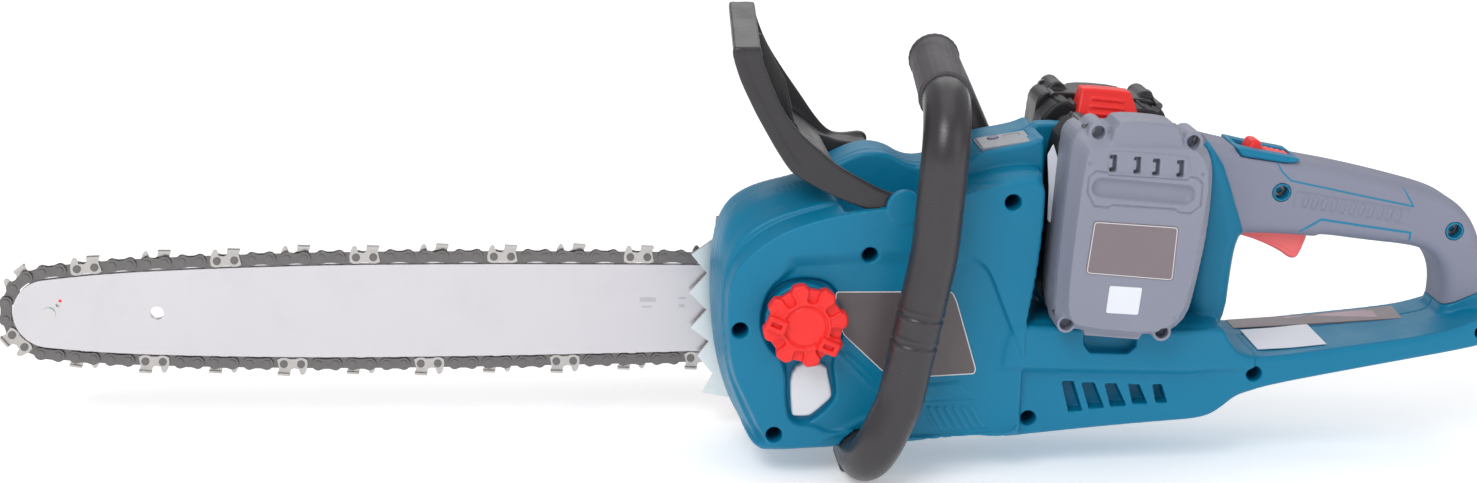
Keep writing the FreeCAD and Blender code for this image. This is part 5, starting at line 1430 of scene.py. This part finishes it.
# ---------------------------------------------------------------- CAD pieces that stay
CAD_FINISHES = {
    "steel": "bar_pad bar_stud brake_band brake_drum drive_shaft drive_sprocket "
             "guard_pivot_pins motor_bearings nose_bearing_rivet nose_sprocket "
             "tension_slider trigger_pin",
    "screw": "battery_left_case_screws battery_right_case_screws housing_screws m5_screws",
    "cell": "battery_left_cells battery_right_cells",
    "spring": "brake_spring lockoff_spring sprocket_clip trigger_spring",
    "spike": "bumper_spikes",
    "alloy": "chain_catcher controller motor_frame",
    "cutter": "chain_cutters",
    "chain": "chain_drive_links chain_rivets chain_tie_straps",
    "black": "cooling_fan microswitch oil_pickup oil_pump",
    "bar": "guide_bar",
    "laminated": "motor_rotor motor_stator",
    "rubber": "oil_cap_seal wiring_harness",
    "milky": "oil_tank",
    "grip_grey": "power_button",
}
for finish, names in CAD_FINISHES.items():
    for name in names.split():
        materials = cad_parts[name].data.materials
        materials.clear()
        materials.append(FINISHES[finish])

# Bevel widths of the sharp metal parts.
CAD_BEVELS = {"guide_bar": 0.25, "chain_cutters": 0.18, "chain_tie_straps": 0.18,
              "chain_drive_links": 0.18, "bumper_spikes": 0.35}
for name, width in CAD_BEVELS.items():
    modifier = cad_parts[name].modifiers.new("bev", "BEVEL")
    modifier.width = width * MM
    modifier.segments = 2
    modifier.limit_method = "ANGLE"
    modifier.angle_limit = math.radians(35)


# ---------------------------------------------------------------- floor, world, lights, camera
def floor_material():
    """Near-white floor that glows more with distance, to merge with the background."""
    material, tree, bsdf = new_material("m_floor")
    place = coords(tree)
    clouds = noise(tree, place, scale=3.0, detail=2.0)
    distance = add_node(tree, "ShaderNodeVectorMath", {0: place}, operation="LENGTH")
    feed(tree, bsdf, {
        "Base Color": mix(tree, clouds, (0.93, 0.93, 0.93, 1), (0.97, 0.97, 0.97, 1)),
        "Roughness": 0.9,
        "Specular IOR Level": 0.1,
        "Emission Color": (1, 1, 1, 1),
        "Emission Strength": map_range(tree, distance.outputs["Value"], (1.0, 4.0),
                                       (0.30, 0.92)),
    })
    return material


def add_floor():
    half, height = 14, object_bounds()[0].z - 0.0004
    mesh = bpy.data.meshes.new("floor")
    shape = bmesh.new()
    shape.faces.new([shape.verts.new((x * half, y * half, height))
                     for x, y in ((-1, -1), (1, -1), (1, 1), (-1, 1))])
    shape.to_mesh(mesh)
    shape.free()
    mesh.materials.append(floor_material())
    floor = bpy.data.objects.new("floor", mesh)
    bpy.context.scene.collection.objects.link(floor)
    floor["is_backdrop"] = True


def set_world():
    """Soft light on the saw; the camera sees a brighter white."""
    world = bpy.data.worlds.new("w")
    bpy.context.scene.world = world
    world.use_nodes = True
    tree = world.node_tree
    light = tree.nodes["Background"]
    feed(tree, light, {"Color": (0.97, 0.98, 1.0, 1), "Strength": 0.45})
    seen = add_node(tree, "ShaderNodeBackground", {"Color": (1, 1, 1, 1), "Strength": 0.97})
    rays = tree.nodes.new("ShaderNodeLightPath")
    blend = add_node(tree, "ShaderNodeMixShader", {
        0: rays.outputs["Is Camera Ray"], 1: light.outputs[0], 2: seen.outputs[0]})
    feed(tree, tree.nodes["World Output"], {"Surface": blend.outputs[0]})


def area_light(name, place, target, size, power):
    light = bpy.data.lights.new(name, "AREA")
    light.shape = "RECTANGLE"
    light.size = light.size_y = size
    light.energy = power
    lamp = bpy.data.objects.new(name, light)
    lamp.location = place
    lamp.rotation_mode = "QUATERNION"
    lamp.rotation_quaternion = (Vector(target) - Vector(place)).to_track_quat("-Z", "Y")
    bpy.context.scene.collection.objects.link(lamp)


def add_camera():
    """Looks at the saw's left side from a little above."""
    turn, rise, roll = math.radians(-5.2), math.radians(15.5), math.radians(1.0)
    target, distance = Vector((-0.130, 0, 0.104)), 1.312
    back = Vector((math.sin(turn) * math.cos(rise), -math.cos(turn) * math.cos(rise),
                   math.sin(rise)))
    right = Vector((math.cos(turn), math.sin(turn), 0))
    up = back.cross(right)
    rolled_right = right * math.cos(roll) + up * math.sin(roll)
    rolled_up = -right * math.sin(roll) + up * math.cos(roll)
    data = bpy.data.cameras.new("cam")
    data.lens = 58.5
    data.sensor_width = 36
    data.clip_start, data.clip_end = 0.01, 60
    camera = bpy.data.objects.new("cam", data)
    pose = Matrix((rolled_right, rolled_up, back)).transposed().to_4x4()
    pose.translation = target + back * distance
    camera.matrix_world = pose
    bpy.context.scene.collection.objects.link(camera)
    bpy.context.scene.camera = camera


add_floor()
set_world()
area_light("key", (-0.9, -1.5, 1.7), (-0.05, 0, 0.08), size=1.0, power=23)
area_light("fill", (1.4, -1.3, 0.8), (0.05, 0, 0.08), size=1.2, power=4)
area_light("back", (0.3, 1.7, 1.5), (0, 0, 0.1), size=1.6, power=9)
area_light("top", (0.0, 0.0, 2.2), (0, 0, 0), size=1.8, power=9)
add_camera()
view = bpy.context.scene.view_settings
view.view_transform = "Standard"
view.look = "None"
view.exposure = 0.0

low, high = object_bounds()
